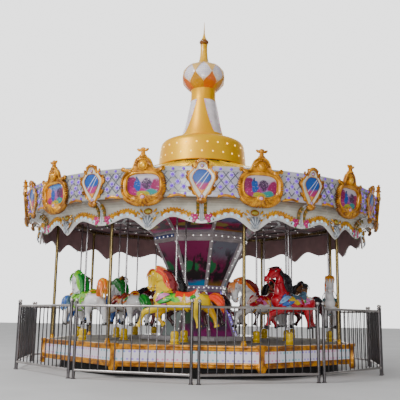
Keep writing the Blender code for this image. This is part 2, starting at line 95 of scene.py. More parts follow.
def bud(wide, start, run, power=1):
    # a leaf's half width along its path: narrow, full, then narrow again
    return lambda t: wide * sin(pi * (start + run * t)) ** power


def taper(wide, loss):
    # a half width that falls by a share along its path
    return lambda t: wide * (1 - loss * t)


def spread(a, b, t):
    return tuple(x + (y - x) * t for x, y in zip(a, b))


def spokes(count):
    # angles round a section, the first half a step off its side
    return [2 * pi * (k + 0.5) / count for k in range(count)]


def volute(centre, outer, inner, start, turns, count=16):
    # points of a scroll in the X-Z plane, winding in from start degrees
    made = []
    for k in range(count):
        t = k / (count - 1)
        angle = radians(start + 360 * turns * t)
        reach = outer + (inner - outer) * t ** 0.8
        made.append(at(centre[0] + reach * cos(angle), 0, centre[1] + reach * sin(angle)))
    return made


# Meshes


class Heap:  # points, faces and face colours, gathered until the mesh is made
    def __init__(self):
        self.points = []
        self.faces = []
        self.tints = []

    def loft(self, rings, tint=(1, 1, 1), loop=False, strip=False):
        # joins rings of equal length; loop joins last to first, strip leaves the rings open
        base, count, rows = len(self.points), len(rings[0]), len(rings)
        for ring in rings:
            self.points.extend(ring)
        for i in range(rows if loop else rows - 1):
            j = (i + 1) % rows
            for k in range(count - 1 if strip else count):
                m = (k + 1) % count
                corners = (i * count + k, i * count + m, j * count + m, j * count + k)
                self.faces.append(tuple(base + c for c in corners))
                self.tints.append(tint(i, k) if callable(tint) else tint)
        if not loop and not strip:
            for i in (0, rows - 1):
                self.faces.append(tuple(base + i * count + k for k in range(count)))
                self.tints.append(tint(min(i, rows - 2), 0) if callable(tint) else tint)

    def turned(self, profile, sides, tint=(1, 1, 1), matrix=None, phase=0.0, ring=False):
        # a solid of levels (radius, height) about the matrix's Z, or a ring of a closed outline;
        # a tint function is given the place in the profile, then the sector
        matrix = matrix or Matrix.Identity(4)
        if ring:
            rings = [[matrix @ polar(r, a, z) for r, z in profile] for a in around(sides, phase)]
            self.loft(rings, (lambda i, k: tint(k, i)) if callable(tint) else tint, loop=True)
        else:
            self.loft([[matrix @ polar(r, a, z) for a in around(sides, phase)] for r, z in profile], tint)

    def tube(self, path, radius, sides=8, tint=(1, 1, 1), loop=False, flat=1.0):
        # a round or flattened bar along a path; radius is a number or a function of 0..1
        count = len(path)
        side = None
        rings = []
        for k, point in enumerate(path):
            ahead = path[(k + 1) % count] if loop else path[min(k + 1, count - 1)]
            behind = path[k - 1] if loop or k else path[0]
            along = (Vector(ahead) - Vector(behind)).normalized()
            if side is None:
                side = along.cross(at(0, 0, 1))
                if side.length < 0.1:
                    side = along.cross(at(0, 1, 0))
            side = (side - along * side.dot(along)).normalized()
            lift = side.cross(along)
            size = radius(k / max(count - 1, 1)) if callable(radius) else radius
            rings.append([Vector(point) + (side * cos(a) + lift * sin(a) * flat) * size
                          for a in spokes(sides)])
        self.loft(rings, tint, loop=loop)

    def leaf(self, path, width, height, normal=(0, 1, 0), tint=(1, 1, 1), matrix=None, sink=0.006):
        # a carved leaf or scroll lying on a surface that faces normal, grooved down its middle
        section = ((-1, 0), (-0.8, 0.7), (-0.4, 1), (0, 0.7), (0.4, 1), (0.8, 0.7), (1, 0))
        normal = Vector(normal)
        matrix = matrix or Matrix.Identity(4)
        rings = []
        for k, point in enumerate(path):
            t = k / (len(path) - 1)
            ahead, behind = path[min(k + 1, len(path) - 1)], path[max(k - 1, 0)]
            along = (Vector(ahead) - Vector(behind)).normalized()
            side = along.cross(normal).normalized()
            wide = width(t) if callable(width) else width
            high = height(t) if callable(height) else height
            ring = [Vector(point) + side * wide * s + normal * high * h for s, h in section]
            ring += [Vector(point) + side * wide * s - normal * sink for s in (1, -1)]
            rings.append([matrix @ p for p in ring])
        # darker on the leaf's sloping sides, its edges and underneath, and a little in its groove: painted
        # shade in the crevices, with a patina glaze in the groove
        patinaAndShade = (0.5, 1.0, 0.78, 0.78, 1.0, 0.5, 0.35, 0.35, 0.35)
        self.loft(rings, lambda i, k: tuple(c * patinaAndShade[k] for c in tint))

    def ball(self, centre, size, tint=(1, 1, 1), rows=8, sides=12, matrix=None):
        matrix = matrix or Matrix.Identity(4)
        size = Vector(size) if hasattr(size, "__len__") else Vector((size,) * 3)
        rings = []
        for i in range(rows + 1):
            up = pi * (0.02 + 0.96 * i / rows)
            ring = []
            for j in range(sides):
                turn = 2 * pi * j / sides
                spot = at(sin(up) * cos(turn), sin(up) * sin(turn), -cos(up))
                ring.append(matrix @ (Vector(centre) + spot * size))
            rings.append(ring)
        self.loft(rings, tint)

    def copyMesh(self, mesh, tint):
        # takes in another mesh; tint is a function of a face's centre
        base = len(self.points)
        self.points.extend(v.co.copy() for v in mesh.vertices)
        for face in mesh.polygons:
            self.faces.append(tuple(base + v for v in face.vertices))
            self.tints.append(tint(face.center))

    def made(self, name, finish, angle=40, matrix=None):
        mesh = bpy.data.meshes.new(name)
        points = [matrix @ p for p in self.points] if matrix else self.points
        mesh.from_pydata(points, [], self.faces)
        layer = mesh.color_attributes.new("tint", "FLOAT_COLOR", "CORNER")
        spread4 = []
        for face, tint in zip(self.faces, self.tints):
            spread4.extend((*tint, 1.0) * len(face))
        layer.data.foreach_set("color", spread4)
        bm = bmesh.new()
        bm.from_mesh(mesh)
        bmesh.ops.recalc_face_normals(bm, faces=bm.faces)
        bm.to_mesh(mesh)
        bm.free()
        mesh.shade_smooth()
        mesh.set_sharp_from_angle(angle=radians(angle))
        mesh.materials.append(finish)
        return linked(name, mesh)


def linked(name, data):
    obj = bpy.data.objects.new(name, data)
    bpy.context.scene.collection.objects.link(obj)
    return obj


def settle(piece, body, slot, *nodes):
    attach(piece, body)
    if nodes:
        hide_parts(*nodes)
    return piece


def bake(obj):
    # turns a piece and its modifiers into a plain mesh
    bpy.context.view_layer.update()
    graph = bpy.context.evaluated_depsgraph_get()
    mesh = bpy.data.meshes.new_from_object(obj.evaluated_get(graph), preserve_all_data_layers=True,
                                           depsgraph=graph)
    obj.modifiers.clear()
    obj.data = mesh
    return obj


def thin(obj, share):
    # keeps a share of the faces, fewest where the form is nearly flat
    modifier = obj.modifiers.new("thinned", "DECIMATE")
    modifier.ratio = share
    return obj


# Geometry Nodes


class Flow:  # one Geometry Nodes tree, its inputs asked for by name
    def __init__(self, name):
        self.tree = bpy.data.node_groups.new(name, "GeometryNodeTree")
        self.tree.interface.new_socket("Geometry", in_out="INPUT", socket_type="NodeSocketGeometry")
        self.tree.interface.new_socket("Geometry", in_out="OUTPUT", socket_type="NodeSocketGeometry")
        self.given = self.tree.nodes.new("NodeGroupInput")
        self.end = self.tree.nodes.new("NodeGroupOutput")
        self.asked = {}

    def ask(self, **kinds):
        for name, kind in kinds.items():
            made = self.tree.interface.new_socket(name, in_out="INPUT", socket_type="NodeSocket" + kind)
            self.asked[name] = made.identifier
        return [self.given.outputs[name] for name in kinds]

    def add(self, kind, settings=(), sockets=(), out=0):
        node = self.tree.nodes.new(kind)
        for key, value in dict(settings).items():
            setattr(node, key, value)
        for key, value in dict(sockets).items():
            if isinstance(value, bpy.types.NodeSocket):
                self.tree.links.new(value, node.inputs[key])
            else:
                node.inputs[key].default_value = value
        return node.outputs[out]

    def scatter(self, instance, finish):
        # the instance on each point given, turned to the point's own direction
        facing = self.add("GeometryNodeInputNamedAttribute", {"data_type": "FLOAT_VECTOR"},
                          {"Name": "facing"})
        turn = self.add("FunctionNodeAlignRotationToVector", {"axis": "Z"}, {"Vector": facing})
        placed = self.add("GeometryNodeInstanceOnPoints", sockets={
            "Points": self.given.outputs["Geometry"], "Instance": instance, "Rotation": turn})
        return self.close(placed, finish)

    def close(self, geometry, finish):
        real = self.add("GeometryNodeRealizeInstances", sockets={"Geometry": geometry})
        last = self.add("GeometryNodeSetMaterial", sockets={"Geometry": real, "Material": finish})
        self.tree.links.new(last, self.end.inputs["Geometry"])
        return self

    def use(self, obj, **values):
        modifier = obj.modifiers.new(self.tree.name, "NODES")
        modifier.node_group = self.tree
        for name, value in values.items():
            modifier[self.asked[name]] = value
        return bake(obj)


def roundFlow():
    # repeats a piece round the ride's axis
    flow = Flow("repeat round the axis")
    count, step, finish = flow.ask(Count="Int", Step="Float", Finish="Material")
    line = flow.add("GeometryNodeMeshLine", sockets={"Count": count, "Offset": (0, 0, 0)})
    index = flow.add("GeometryNodeInputIndex")
    turn = flow.add("ShaderNodeMath", {"operation": "MULTIPLY"}, {0: index, 1: step})
    angles = flow.add("ShaderNodeCombineXYZ", sockets={"Z": turn})
    turned = flow.add("FunctionNodeEulerToRotation", sockets={"Euler": angles})
    placed = flow.add("GeometryNodeInstanceOnPoints", sockets={
        "Points": line, "Instance": flow.given.outputs["Geometry"], "Rotation": turned})
    return flow.close(placed, finish)


def studFlow():
    # a small bulb or stud on each point, turned to face its own direction
    flow = Flow("studs on points")
    radius, flatness, detail, finish = flow.ask(Radius="Float", Flatness="Float", Detail="Int",
                                                Finish="Material")
    ball = flow.add("GeometryNodeMeshIcoSphere", sockets={"Radius": radius, "Subdivisions": detail})
    squash = flow.add("ShaderNodeCombineXYZ", sockets={"X": 1.0, "Y": 1.0, "Z": flatness})
    ball = flow.add("GeometryNodeTransform", sockets={"Geometry": ball, "Scale": squash})
    ball = flow.add("GeometryNodeSetShadeSmooth", sockets={"Geometry": ball})
    return flow.scatter(ball, finish)


def petalFlow():
    # a flower of flat petals on each point, for the lamps of the crown
    flow = Flow("petals on points")
    radius, petals, finish = flow.ask(Radius="Float", Petals="Int", Finish="Material")
    ring = flow.add("GeometryNodeMeshCircle", sockets={"Vertices": petals, "Radius": radius})
    leaf = flow.add("GeometryNodeMeshIcoSphere", sockets={"Radius": radius, "Subdivisions": 1})
    squash = flow.add("ShaderNodeCombineXYZ", sockets={"X": 0.62, "Y": 0.62, "Z": 0.3})
    leaf = flow.add("GeometryNodeTransform", sockets={"Geometry": leaf, "Scale": squash})
    flower = flow.add("GeometryNodeInstanceOnPoints", sockets={"Points": ring, "Instance": leaf})
    flower = flow.add("GeometryNodeRealizeInstances", sockets={"Geometry": flower})
    flower = flow.add("GeometryNodeSetShadeSmooth", sockets={"Geometry": flower})
    return flow.scatter(flower, finish)


def pointCloud(name, spots):
    # spots are (point, facing) pairs, for the flows that put a lamp or a flower on each
    mesh = bpy.data.meshes.new(name)
    mesh.from_pydata([p for p, _ in spots], [], [])
    layer = mesh.attributes.new("facing", "FLOAT_VECTOR", "POINT")
    layer.data.foreach_set("vector", [c for _, f in spots for c in f])
    return linked(name, mesh)


# Shader maths


class Wire:  # one socket, so that masks and mixes read as plain maths
    def __init__(self, paint, end):
        self.paint = paint
        self.end = end

    def maths(self, kind, *others):
        return self.paint.add("Math", {"operation": kind}, dict(enumerate((self, *others))))

    def __add__(self, other):
        return self.maths("ADD", other)

    def __sub__(self, other):
        return self.maths("SUBTRACT", other)

    def __mul__(self, other):
        return self.maths("MULTIPLY", other)

    def __truediv__(self, other):
        return self.maths("DIVIDE", other)

    def __rsub__(self, other):
        return self.paint.add("Math", {"operation": "SUBTRACT"}, {0: other, 1: self})

    def between(self, low, high):
        # 0 below low, 1 above high, smooth between
        return self.paint.add("MapRange", {"interpolation_type": "SMOOTHSTEP"},
                              {"Value": self, "From Min": low, "From Max": high})

    def part(self, name):
        return self.paint.add("SeparateXYZ", sockets={0: self}, out="XYZ".index(name))


class Paint:  # one material, its shader the Principled one it starts with, or the nodes of a given tree
    def __init__(self, name, tree=None, **values):
        self.tree = tree
        if not tree:
            self.made = bpy.data.materials.new(name)
            self.made.use_nodes = True
            self.tree = self.made.node_tree
            self.shader = self.tree.nodes["Principled BSDF"]
            self.set(**values)

    def add(self, kind, settings=(), sockets=(), out=0):
        node = self.tree.nodes.new("ShaderNode" + kind)
        for key, value in dict(settings).items():
            setattr(node, key, value)
        for key, value in dict(sockets).items():
            self.feed(node.inputs[key], value)
        return Wire(self, node.outputs[out])

    def feed(self, socket, value):
        if isinstance(value, Wire):
            self.tree.links.new(value.end, socket)
        elif socket.type == "RGBA":
            socket.default_value = (*value[:3], 1)
        else:
            socket.default_value = value

    def set(self, **values):
        # keys are Principled sockets in camelCase, such as baseColor
        for key, value in values.items():
            name = "".join(" " + c if c.isupper() else c for c in key).title()
            self.feed(self.shader.inputs[name], value)

    def place(self):
        return self.add("TexCoord", out=3)

    def mix(self, mask, low, high):
        node = self.tree.nodes.new("ShaderNodeMix")
        node.data_type = "RGBA"
        for index, value in ((0, mask), (6, low), (7, high)):
            self.feed(node.inputs[index], value)
        return Wire(self, node.outputs[2])

    def noise(self, scale, detail=3, place=None, stretch=None):
        place = place or self.place()
        if stretch:
            place = self.add("Mapping", sockets={"Vector": place, "Scale": stretch})
        return self.add("TexNoise", sockets={"Vector": place, "Scale": scale, "Detail": detail})

    def bump(self, height, strength=0.3, distance=0.003):
        made = self.add("Bump", sockets={"Strength": strength, "Distance": distance, "Height": height})
        self.set(normal=made)

    def bearing(self, x, y):
        # degrees about Z, from +Y towards +X
        return self.add("Math", {"operation": "ARCTAN2"}, {0: x, 1: y}) * (180 / pi)

    def spot(self, u, v, centre, size, soft=0.12):
        # 1 inside an oval at centre, 0 outside
        a = (u - centre[0]) / size[0]
        b = (v - centre[1]) / size[1]
        return 1 - (a * a + b * b).between(1 - soft, 1 + soft)

    def tint(self):
        return self.add("Attribute", {"attribute_name": "tint"})


def brushedSteel(name, colour, roughness):
    paint = Paint(name, metallic=0.92)
    grain = paint.noise(9, 4, stretch=(6, 6, 0.4))
    grime = paint.noise(2.2, 5)
    dull = tuple(c * 0.62 for c in colour)
    colour = paint.mix(grime.between(0.35, 0.7), dull, colour)
    colour = paint.add("VectorMath", {"operation": "MULTIPLY"}, {0: colour, 1: paint.tint()})
    paint.set(baseColor=colour, roughness=grain * 0.22 + roughness)
    paint.bump(grain, 0.12, 0.002)
    return paint.made


def goldPaint(name, deep, bright, metallic=0.55, roughness=0.24):
    # gilded casting: deeper where the gilding has worn, and darker where the mesh's tint paints shade, with
    # patina in the grooves
    paint = Paint(name, metallic=metallic, coatWeight=0.35, coatRoughness=0.15)
    patches = paint.noise(7, 5)
    fine = paint.noise(46, 3)
    colour = paint.mix(patches.between(0.36, 0.66), deep, bright)
    colour = paint.mix(fine.between(0.62, 0.8) * 0.35, colour, tuple(c * 0.5 for c in deep))
    colour = paint.add("VectorMath", {"operation": "MULTIPLY"}, {0: colour, 1: paint.tint()})
    paint.set(baseColor=colour, roughness=patches * 0.16 + roughness)
    paint.bump(fine, 0.18, 0.002)
    return paint.made


def tintedEnamel():
    # glossy paint over glass fibre; the colour is in the mesh, the brushwork and dust are here
    paint = Paint("hand painted enamel", coatWeight=0.5, coatRoughness=0.08)
    broad = paint.noise(5, 4)
    fine = paint.noise(60, 3)
    tint = paint.tint()
    shade = paint.add("VectorMath", {"operation": "SCALE"},
                      {0: tint, "Scale": broad.between(0.3, 0.7) * 0.22 + 0.78})
    dust = fine.between(0.68, 0.84) * 0.03
    paint.set(baseColor=paint.mix(dust, shade, (0.36, 0.32, 0.28)), roughness=broad * 0.16 + 0.18)
    paint.bump(fine, 0.10, 0.0015)
    return paint.made


def plainPaint(name, colour, worn, roughness=0.4, metallic=0.0, scale=4.0, coat=0.2):
    paint = Paint(name, metallic=metallic, coatWeight=coat, coatRoughness=0.25)
    broad = paint.noise(scale, 5)
    fine = paint.noise(scale * 14, 3)
    paint.set(baseColor=paint.mix(broad.between(0.3, 0.75), worn, colour),
              roughness=broad * 0.2 + (roughness - 0.1))
    paint.bump(fine, 0.15, 0.0015)
    return paint.made


def lampPaint(name, colour, glow):
    # a frosted lamp; some burn a little weaker than others
    paint = Paint(name, roughness=0.25, baseColor=colour, emissionStrength=glow)
    weak = tuple(c * 0.6 for c in colour)
    paint.set(emissionColor=paint.mix(paint.noise(9, 2).between(0.35, 0.6), weak, colour))
    return paint.made


paints = {
    "steel": brushedSteel("stainless fence tube", (0.58, 0.54, 0.52), 0.2),
    "rod": brushedSteel("horse pole steel", (0.50, 0.47, 0.48), 0.12),
    "bronze": brushedSteel("bronze pole", (0.30, 0.22, 0.09), 0.16),
    "gold": goldPaint("gilded casting", (0.28, 0.085, 0.0), (0.84, 0.35, 0.0), 0.30),
    "brightGold": goldPaint("bright gilding", (0.64, 0.25, 0.0), (1.0, 0.52, 0.004), 0.40, 0.22),
    "enamel": tintedEnamel(),
    # near total black without gloss: the chassis's black paint, darkened further as painted shade; the drum's
    # slit uses it as a painted shadow
    "black": plainPaint("black chassis paint and painted shadow", (0.003, 0.003, 0.004), (0.007, 0.007, 0.007), 0.8, coat=0.0),
    "maroon": plainPaint("maroon underside", (0.22, 0.060, 0.080), (0.13, 0.045, 0.055), 0.55),
    "mauve": plainPaint("brown mauve lining", (0.42, 0.25, 0.255), (0.31, 0.19, 0.195), 0.6),
    "ribGrey": plainPaint("grey rib paint", (0.52, 0.45, 0.48), (0.36, 0.31, 0.33), 0.45),
    "warmLamp": lampPaint("warm lamp", (1.0, 0.66, 0.20), 2.4),
    "whiteLamp": lampPaint("white lamp", (1.0, 0.96, 0.92), 1.6),
    "iceLamp": lampPaint("ice white lamp", (0.46, 0.78, 0.95), 0.4),
    "violetLamp": lampPaint("violet lamp", (0.16, 0.03, 0.62), 0.5),
    "lilacPetal": lampPaint("lilac petal", (0.50, 0.38, 0.90), 0.12),
    "pinkLamp": lampPaint("pink violet lamp", (0.62, 0.16, 0.62), 0.5),
    "blueLamp": lampPaint("blue violet lamp", (0.16, 0.05, 0.95), 1.6),
}
flows = {"round": roundFlow(), "studs": studFlow(), "petals": petalFlow()}
print("materials ready")


def studs(name, spots, radius, paint, body="platform", slot="white_enamel", flatness=0.7, detail=2):
    obj = pointCloud(name, spots)
    flows["studs"].use(obj, Radius=radius, Flatness=flatness, Detail=detail, Finish=paints[paint])
    return settle(obj, body, slot)


def repeat(obj, count):
    finish = obj.data.materials[0]
    return flows["round"].use(obj, Count=count, Step=radians(360 / count), Finish=finish)


def fit(heap, name, paint, angle, slot, *nodes, count=1, share=1.0):
    # a heap made a piece of the platform, in a paint or one named in paints; count repeats it round
    # the axis, share thins it first
    obj = heap.made(name, paints.get(paint, paint), angle)
    if share < 1:
        thin(obj, share)
    if count > 1:
        repeat(obj, count)
    return settle(obj, "platform", slot, *nodes)


# Camera, light and floor

cameraView = {"place": (0.0, -14.0, 1.056), "pitch": 10.54, "roll": 0.88, "yaw": -0.16, "lens": 56.2}
lightPlan = {"zenith": 0.55, "horizon": 0.20, "shadeSide": 0.07, "left": 0.85, "behind": 2.4, "key": 1500.0,
             "fill": 90.0, "front": 860.0}


def makeCamera():
    data = bpy.data.cameras.new("camera")
    data.lens = cameraView["lens"]
    data.sensor_width = 36.0
    camera = linked("camera", data)
    turn = (Matrix.Rotation(radians(-cameraView["yaw"]), 4, "Z")
            @ Matrix.Rotation(radians(90 + cameraView["pitch"]), 4, "X")
            @ Matrix.Rotation(radians(cameraView["roll"]), 4, "Z"))
    camera.matrix_world = Matrix.Translation(cameraView["place"]) @ turn
    bpy.context.scene.camera = camera


def makeLight(name, place, size, power, colour=(1, 1, 1), target=(0, 0, 2.6)):
    data = bpy.data.lights.new(name, "AREA")
    data.shape = "DISK"
    data.size = size
    data.energy = power
    data.color = colour
    lamp = linked(name, data)
    lamp.location = place
    lamp.rotation_euler = (Vector(target) - Vector(place)).to_track_quat("-Z", "Y").to_euler()


def makeSky():
    # an overcast sky, brightest behind the ride and to its left, with a dim quarter to the front right
    world = bpy.data.worlds.new("overcast studio")
    world.use_nodes = True
    sky = Paint(world.name, world.node_tree)
    facing = sky.add("TexCoord", out=0)
    x, y, z = (facing.part(c) for c in "XYZ")
    glow = sky.add("MapRange", sockets={"Value": z.between(0.0, 0.9), "To Min": lightPlan["horizon"],
                                        "To Max": lightPlan["zenith"]})
    azimuth = sky.bearing(x, 0 - y)
    shade = azimuth.between(2, 16) * (1 - azimuth.between(105, 140)) * (1 - z.between(0.35, 0.75))
    glow = glow * (1 - shade) + shade * lightPlan["shadeSide"]
    left = (azimuth + 150).between(0, 25) * (1 - azimuth.between(-6, 2))
    left = left * (1 - z.between(0.55, 0.8)) * z.between(0.0, 0.12)
    glow = glow * (1 - left) + left * lightPlan["left"]
    behind = y.between(0.62, 0.86) * (1 - z.between(0.55, 0.8))
    glow = glow * (1 - behind) + behind * lightPlan["behind"]
    sheet = world.node_tree.nodes["Background"]
    sheet.inputs["Color"].default_value = (1, 1, 1, 1)
    world.node_tree.links.new(glow.end, sheet.inputs["Strength"])
    bpy.context.scene.world = world


def makeStage():
    makeSky()
    makeLight("key", (-10, -9, 13), 4.0, lightPlan["key"])
    makeLight("fill", (11, -10, 7), 7.0, lightPlan["fill"])
    makeLight("front", (-1, -17, 2.4), 5.0, lightPlan["front"])
    paint = Paint("pale studio floor", roughness=0.9)
    paint.set(baseColor=paint.mix(paint.noise(0.6, 3).between(0.3, 0.7), (0.60, 0.60, 0.60),
                                  (0.66, 0.66, 0.66)))
    mesh = bpy.data.meshes.new("floor")
    reach = 60.0
    mesh.from_pydata([(-reach, -reach, 0), (reach, -reach, 0), (reach, reach, 0), (-reach, reach, 0)],
                     [], [(0, 1, 2, 3)])
    mesh.materials.append(paint.made)
    linked("floor", mesh)


makeCamera()
makeStage()
print("camera and stage ready")


# Fence

fence = {"radius": 3.88, "panels": 11, "phase": -1.0, "pair": 0.125, "post": 0.026, "height": 1.26,
         "topRail": 1.205, "lowRail": 0.143, "railWide": 0.021, "bars": 13, "bar": 0.0105}


def fencePanel(index):
    step = 360 / fence["panels"]
    first = polar(fence["radius"], fence["phase"] + step * index)
    last = polar(fence["radius"], fence["phase"] + step * (index + 1))
    along = (last - first).normalized()
    start, end = first + along * fence["pair"] / 2, last - along * fence["pair"] / 2
    heap = Heap()
    post = fence["post"]
    high = fence["height"]
    profile = ((post + 0.016, 0), (post + 0.016, 0.006), (post + 0.004, 0.016), (post, 0.02),
               (post, high - 0.02), (post + 0.006, high - 0.016), (post + 0.006, high),
               (post * 0.6, high + 0.008), (post * 0.62, high + 0.02))
    # one steel tinted darker on the posts, and darker still on the bars, than on the rails: painted shade
    dark = (0.30, 0.30, 0.32)
    for foot in (start, end):
        heap.turned(profile, 18, dark, Matrix.Translation(foot))
        # the finials tinted brighter than the steel: painted highlights
        heap.ball(foot + at(0, 0, high + 0.035), 0.032, (1.3, 1.3, 1.3), 8, 14)
    for z in (fence["lowRail"], fence["topRail"]):
        wide = fence["railWide"]
        low, far = start + at(0, 0, z), end + at(0, 0, z)
        heap.tube([low + along * post * 0.8, far - along * post * 0.8], wide, 12)
        for spot in (low + along * (post + 0.004), far - along * (post + 0.004)):
            heap.tube([spot - along * 0.008, spot + along * 0.008], wide + 0.006, 12)
    for k in range(fence["bars"]):
        spot = start + (end - start) * (k + 1) / (fence["bars"] + 1)
        heap.tube([spot + at(0, 0, fence[rail]) for rail in ("lowRail", "topRail")], fence["bar"], 8,
                  [0.55 * c for c in dark])
    name = f"fence_panel_{index + 1:02d}"
    settle(heap.made(name + "_tubes", paints["steel"]), "stand", "stainless_steel", name)


for index in range(fence["panels"]):
    fencePanel(index)
print("fence done")


# Platform

platform = {"sections": 8, "phase": 18.46, "radius": 3.32, "deck": 0.567, "low": 0.192, "lowTrim": 0.285,
            "upTrim": 0.475, "bracketTip": 0.10, "bracketHalf": 0.085}


def ledPanelPaint():
    # lilac-white panel with rows of small coloured dots and fine upright lines of the lamp mesh
    paint = Paint("lamp mesh panel", roughness=0.4, coatWeight=0.2, emissionStrength=0.22)
    place = paint.place()
    x, y, z = (place.part(c) for c in "XYZ")
    around360 = paint.bearing(x, y)
    fine = (around360 * 4.0).maths("FRACT")
    line = (fine - 0.5).maths("ABSOLUTE").between(0.36, 0.48)
    zone = (around360 / 30.0 + 0.55).maths("FRACT")
    tint = paint.mix(zone.between(0.30, 0.36), (0.24, 0.12, 0.74), (0.04, 0.44, 0.52))
    tint = paint.mix(zone.between(0.64, 0.70), tint, (0.72, 0.14, 0.42))
    ground = paint.mix(0.92, tint, (0.72, 0.69, 0.76))
    ground = paint.mix(line * 0.3, ground, (0.50, 0.48, 0.54))
    for level, shift in ((0.445, 0.5), (0.318, 0.1)):
        cell = ((around360 / 1.55 + shift).maths("FRACT") - 0.5) * 0.09
        away = z - level
        dot = 1 - (cell * cell + away * away * 1.4).between(0.00015, 0.00075)
        ground = paint.mix(dot * 0.8, ground, tint)
    paint.set(baseColor=ground, emissionColor=ground)
    return paint.made


def deckPaint():
    # grey chequer floor, worn pale along the walking ring and seamed at the sections
    paint = Paint("grey deck plate")
    paint.shader.inputs["Specular IOR Level"].default_value = 0.12
    place = paint.place()
    x, y = place.part("X"), place.part("Y")
    reach = (x * x + y * y).maths("SQRT")
    azimuth = paint.bearing(x, y)
    seam = ((azimuth / 22.5).maths("FRACT") - 0.5).maths("ABSOLUTE").between(0.493, 0.499)
    worn = (reach - 2.35).maths("ABSOLUTE").between(0.0, 0.5)
    broad = paint.noise(2.4, 5)
    chequer = paint.add("TexVoronoi", {"feature": "DISTANCE_TO_EDGE"}, {"Vector": place, "Scale": 26.0})
    colour = paint.mix(broad.between(0.3, 0.7), (0.20, 0.185, 0.155), (0.28, 0.26, 0.215))
    colour = paint.mix((1 - worn) * 0.35, colour, (0.31, 0.285, 0.24))
    colour = paint.mix(seam * 0.8, colour, (0.05, 0.05, 0.06))
    paint.set(baseColor=colour, roughness=broad * 0.2 + 0.7)
    paint.bump(chequer.between(0.0, 0.12), 0.4, 0.003)
    return paint.made


def platformPieces():
    inner = platform["radius"] - 0.05
    face, proud = platform["radius"], platform["radius"] + 0.02
    low, lowTrim, upTrim, deck = (platform[k] for k in ("low", "lowTrim", "upTrim", "deck"))
    heap = Heap()
    trims = (
        ((inner, low), (proud - 0.006, low), (proud, low + 0.012), (proud, low + 0.03),
         (proud - 0.012, low + 0.04), (proud - 0.008, low + 0.058), (proud, low + 0.068),
         (proud, lowTrim - 0.014), (proud - 0.008, lowTrim), (inner, lowTrim)),
        ((inner, upTrim), (proud - 0.008, upTrim), (proud, upTrim + 0.014), (proud, upTrim + 0.032),
         (proud - 0.012, upTrim + 0.042), (proud - 0.008, upTrim + 0.058), (proud, upTrim + 0.07),
         (proud, deck - 0.006), (proud - 0.006, deck), (inner, deck)),
    )
    for trim in trims:
        heap.turned(trim, platform["sections"], ring=True, phase=platform["phase"])
    for azimuth in around(platform["sections"], platform["phase"]):
        bracket(heap, azimuth)
    fit(heap, "rim_gilding", "gold", 30, "gold_paint", "deck_rim")
    heap = Heap()
    panel = ((inner, lowTrim), (face, lowTrim), (face, upTrim), (inner, upTrim))
    heap.turned(panel, platform["sections"], ring=True, phase=platform["phase"])
    fit(heap, "rim_lamp_panels", ledPanelPaint(), 20, "white_enamel")
    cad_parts["deck"].data.materials[0] = deckPaint()
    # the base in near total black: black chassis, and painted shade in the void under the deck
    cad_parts["ground_base"].data.materials[0] = paints["black"]


def bracket(heap, azimuth):
    # a gilded bracket over each corner of the rim: scroll head, fluted shaft, leaf-shaped foot
    base = outward(platform["radius"], azimuth)
    half, tip = platform["bracketHalf"], platform["bracketTip"]
    outline = through(((0.0, 0, tip), (half * 0.62, 0, tip + 0.045), (half, 0, tip + 0.115),
                       (half * 0.62, 0, tip + 0.17), (half * 0.5, 0, tip + 0.22), (half * 0.52, 0, 0.46),
                       (half * 0.8, 0, 0.50), (half, 0, 0.54), (half * 0.96, 0, 0.578), (0.0, 0, 0.586)), 34)
    front = [at(p.x, 0, p.z) for p in outline] + [at(-p.x, 0, p.z) for p in outline[-2:0:-1]]
    middle = at(0, 0, 0.36)
    rings = []
    for out, share in ((-0.045, 1.0), (0.030, 1.0), (0.042, 0.92), (0.049, 0.74)):
        ring = []
        for p in front:
            shrunk = at(p.x * share, 0, middle.z + (p.z - middle.z) * (1 - (1 - share) * 0.25))
            ring.append(base @ (shrunk + at(0, out, 0)))
        rings.append(ring)
    heap.loft(rings)
    for side in (-1, 1):
        curl = volute((side * 0.036, 0.545), 0.030, 0.008, 90, -side * 1.4, 18)
        heap.leaf(pushed(curl, 0.046), lambda t: 0.009 - 0.004 * t, 0.010, matrix=base)
    flute = [at(0, 0.046, z) for z in (0.30, 0.36, 0.42, 0.49)]
    heap.leaf(flute, lambda t: 0.016 + 0.006 * t, 0.008, matrix=base)
    leaf = [at(0, 0.046, tip + d) for d in (0.16, 0.12, 0.07, 0.02)]
    heap.leaf(leaf, lambda t: 0.012 + 0.04 * sin(pi * min(t * 0.9 + 0.05, 1)), 0.012, matrix=base)
    for side in (-1, 1):
        for lift, reach in ((0.10, 0.05), (0.06, 0.045)):
            path = [at(side * reach * t, 0.046, tip + lift + 0.05 - 0.06 * t * t)
                    for t in (0.2, 0.5, 0.8, 1.1)]
            heap.leaf(path, lambda t: 0.014 * (1 - t * 0.7), 0.010, matrix=base)


horseRings = (("outer", 2.80), ("inner", 1.89))
horsesInRing, horsePhase = 8, -9.0


def horsePlaces():
    return [(f"horse_{ring}_{row + 1}", radius, azimuth) for ring, radius in horseRings
            for row, azimuth in enumerate(around(horsesInRing, horsePhase))]


def sleevePieces():
    # the bulging yellow guide that each horse pole runs in
    heap = Heap()
    deck = platform["deck"]
    profile = [(0.096, 0.0), (0.096, 0.010), (0.084, 0.018)]
    for low, high, swell in ((0.022, 0.092, 0.080), (0.096, 0.206, 0.074)):
        for k in range(9):
            profile.append((0.066 + (swell - 0.066) * sin(pi * k / 8) ** 0.6, low + (high - low) * k / 8))
    profile += [(0.060, 0.212), (0.040, 0.222), (0.024, 0.224)]

    def shade(i, k):
        return (0.70, 0.36, 0.0) if i in (2, 11, 20) else (0.86, 0.56, 0.0)

    for _, radius, azimuth in horsePlaces():
        heap.turned(profile, 24, shade, Matrix.Translation(polar(radius, azimuth, deck + 0.0005)))
    fit(heap, "pole_guides", "enamel", 40, "gold_paint")


platformPieces()
sleevePieces()
print("platform done")


# Poles of the frame and their fittings

poles = {"count": 8, "radius": 3.15, "phase": 13.9, "bar": 0.031, "foot": 0.5675, "top": 3.11}


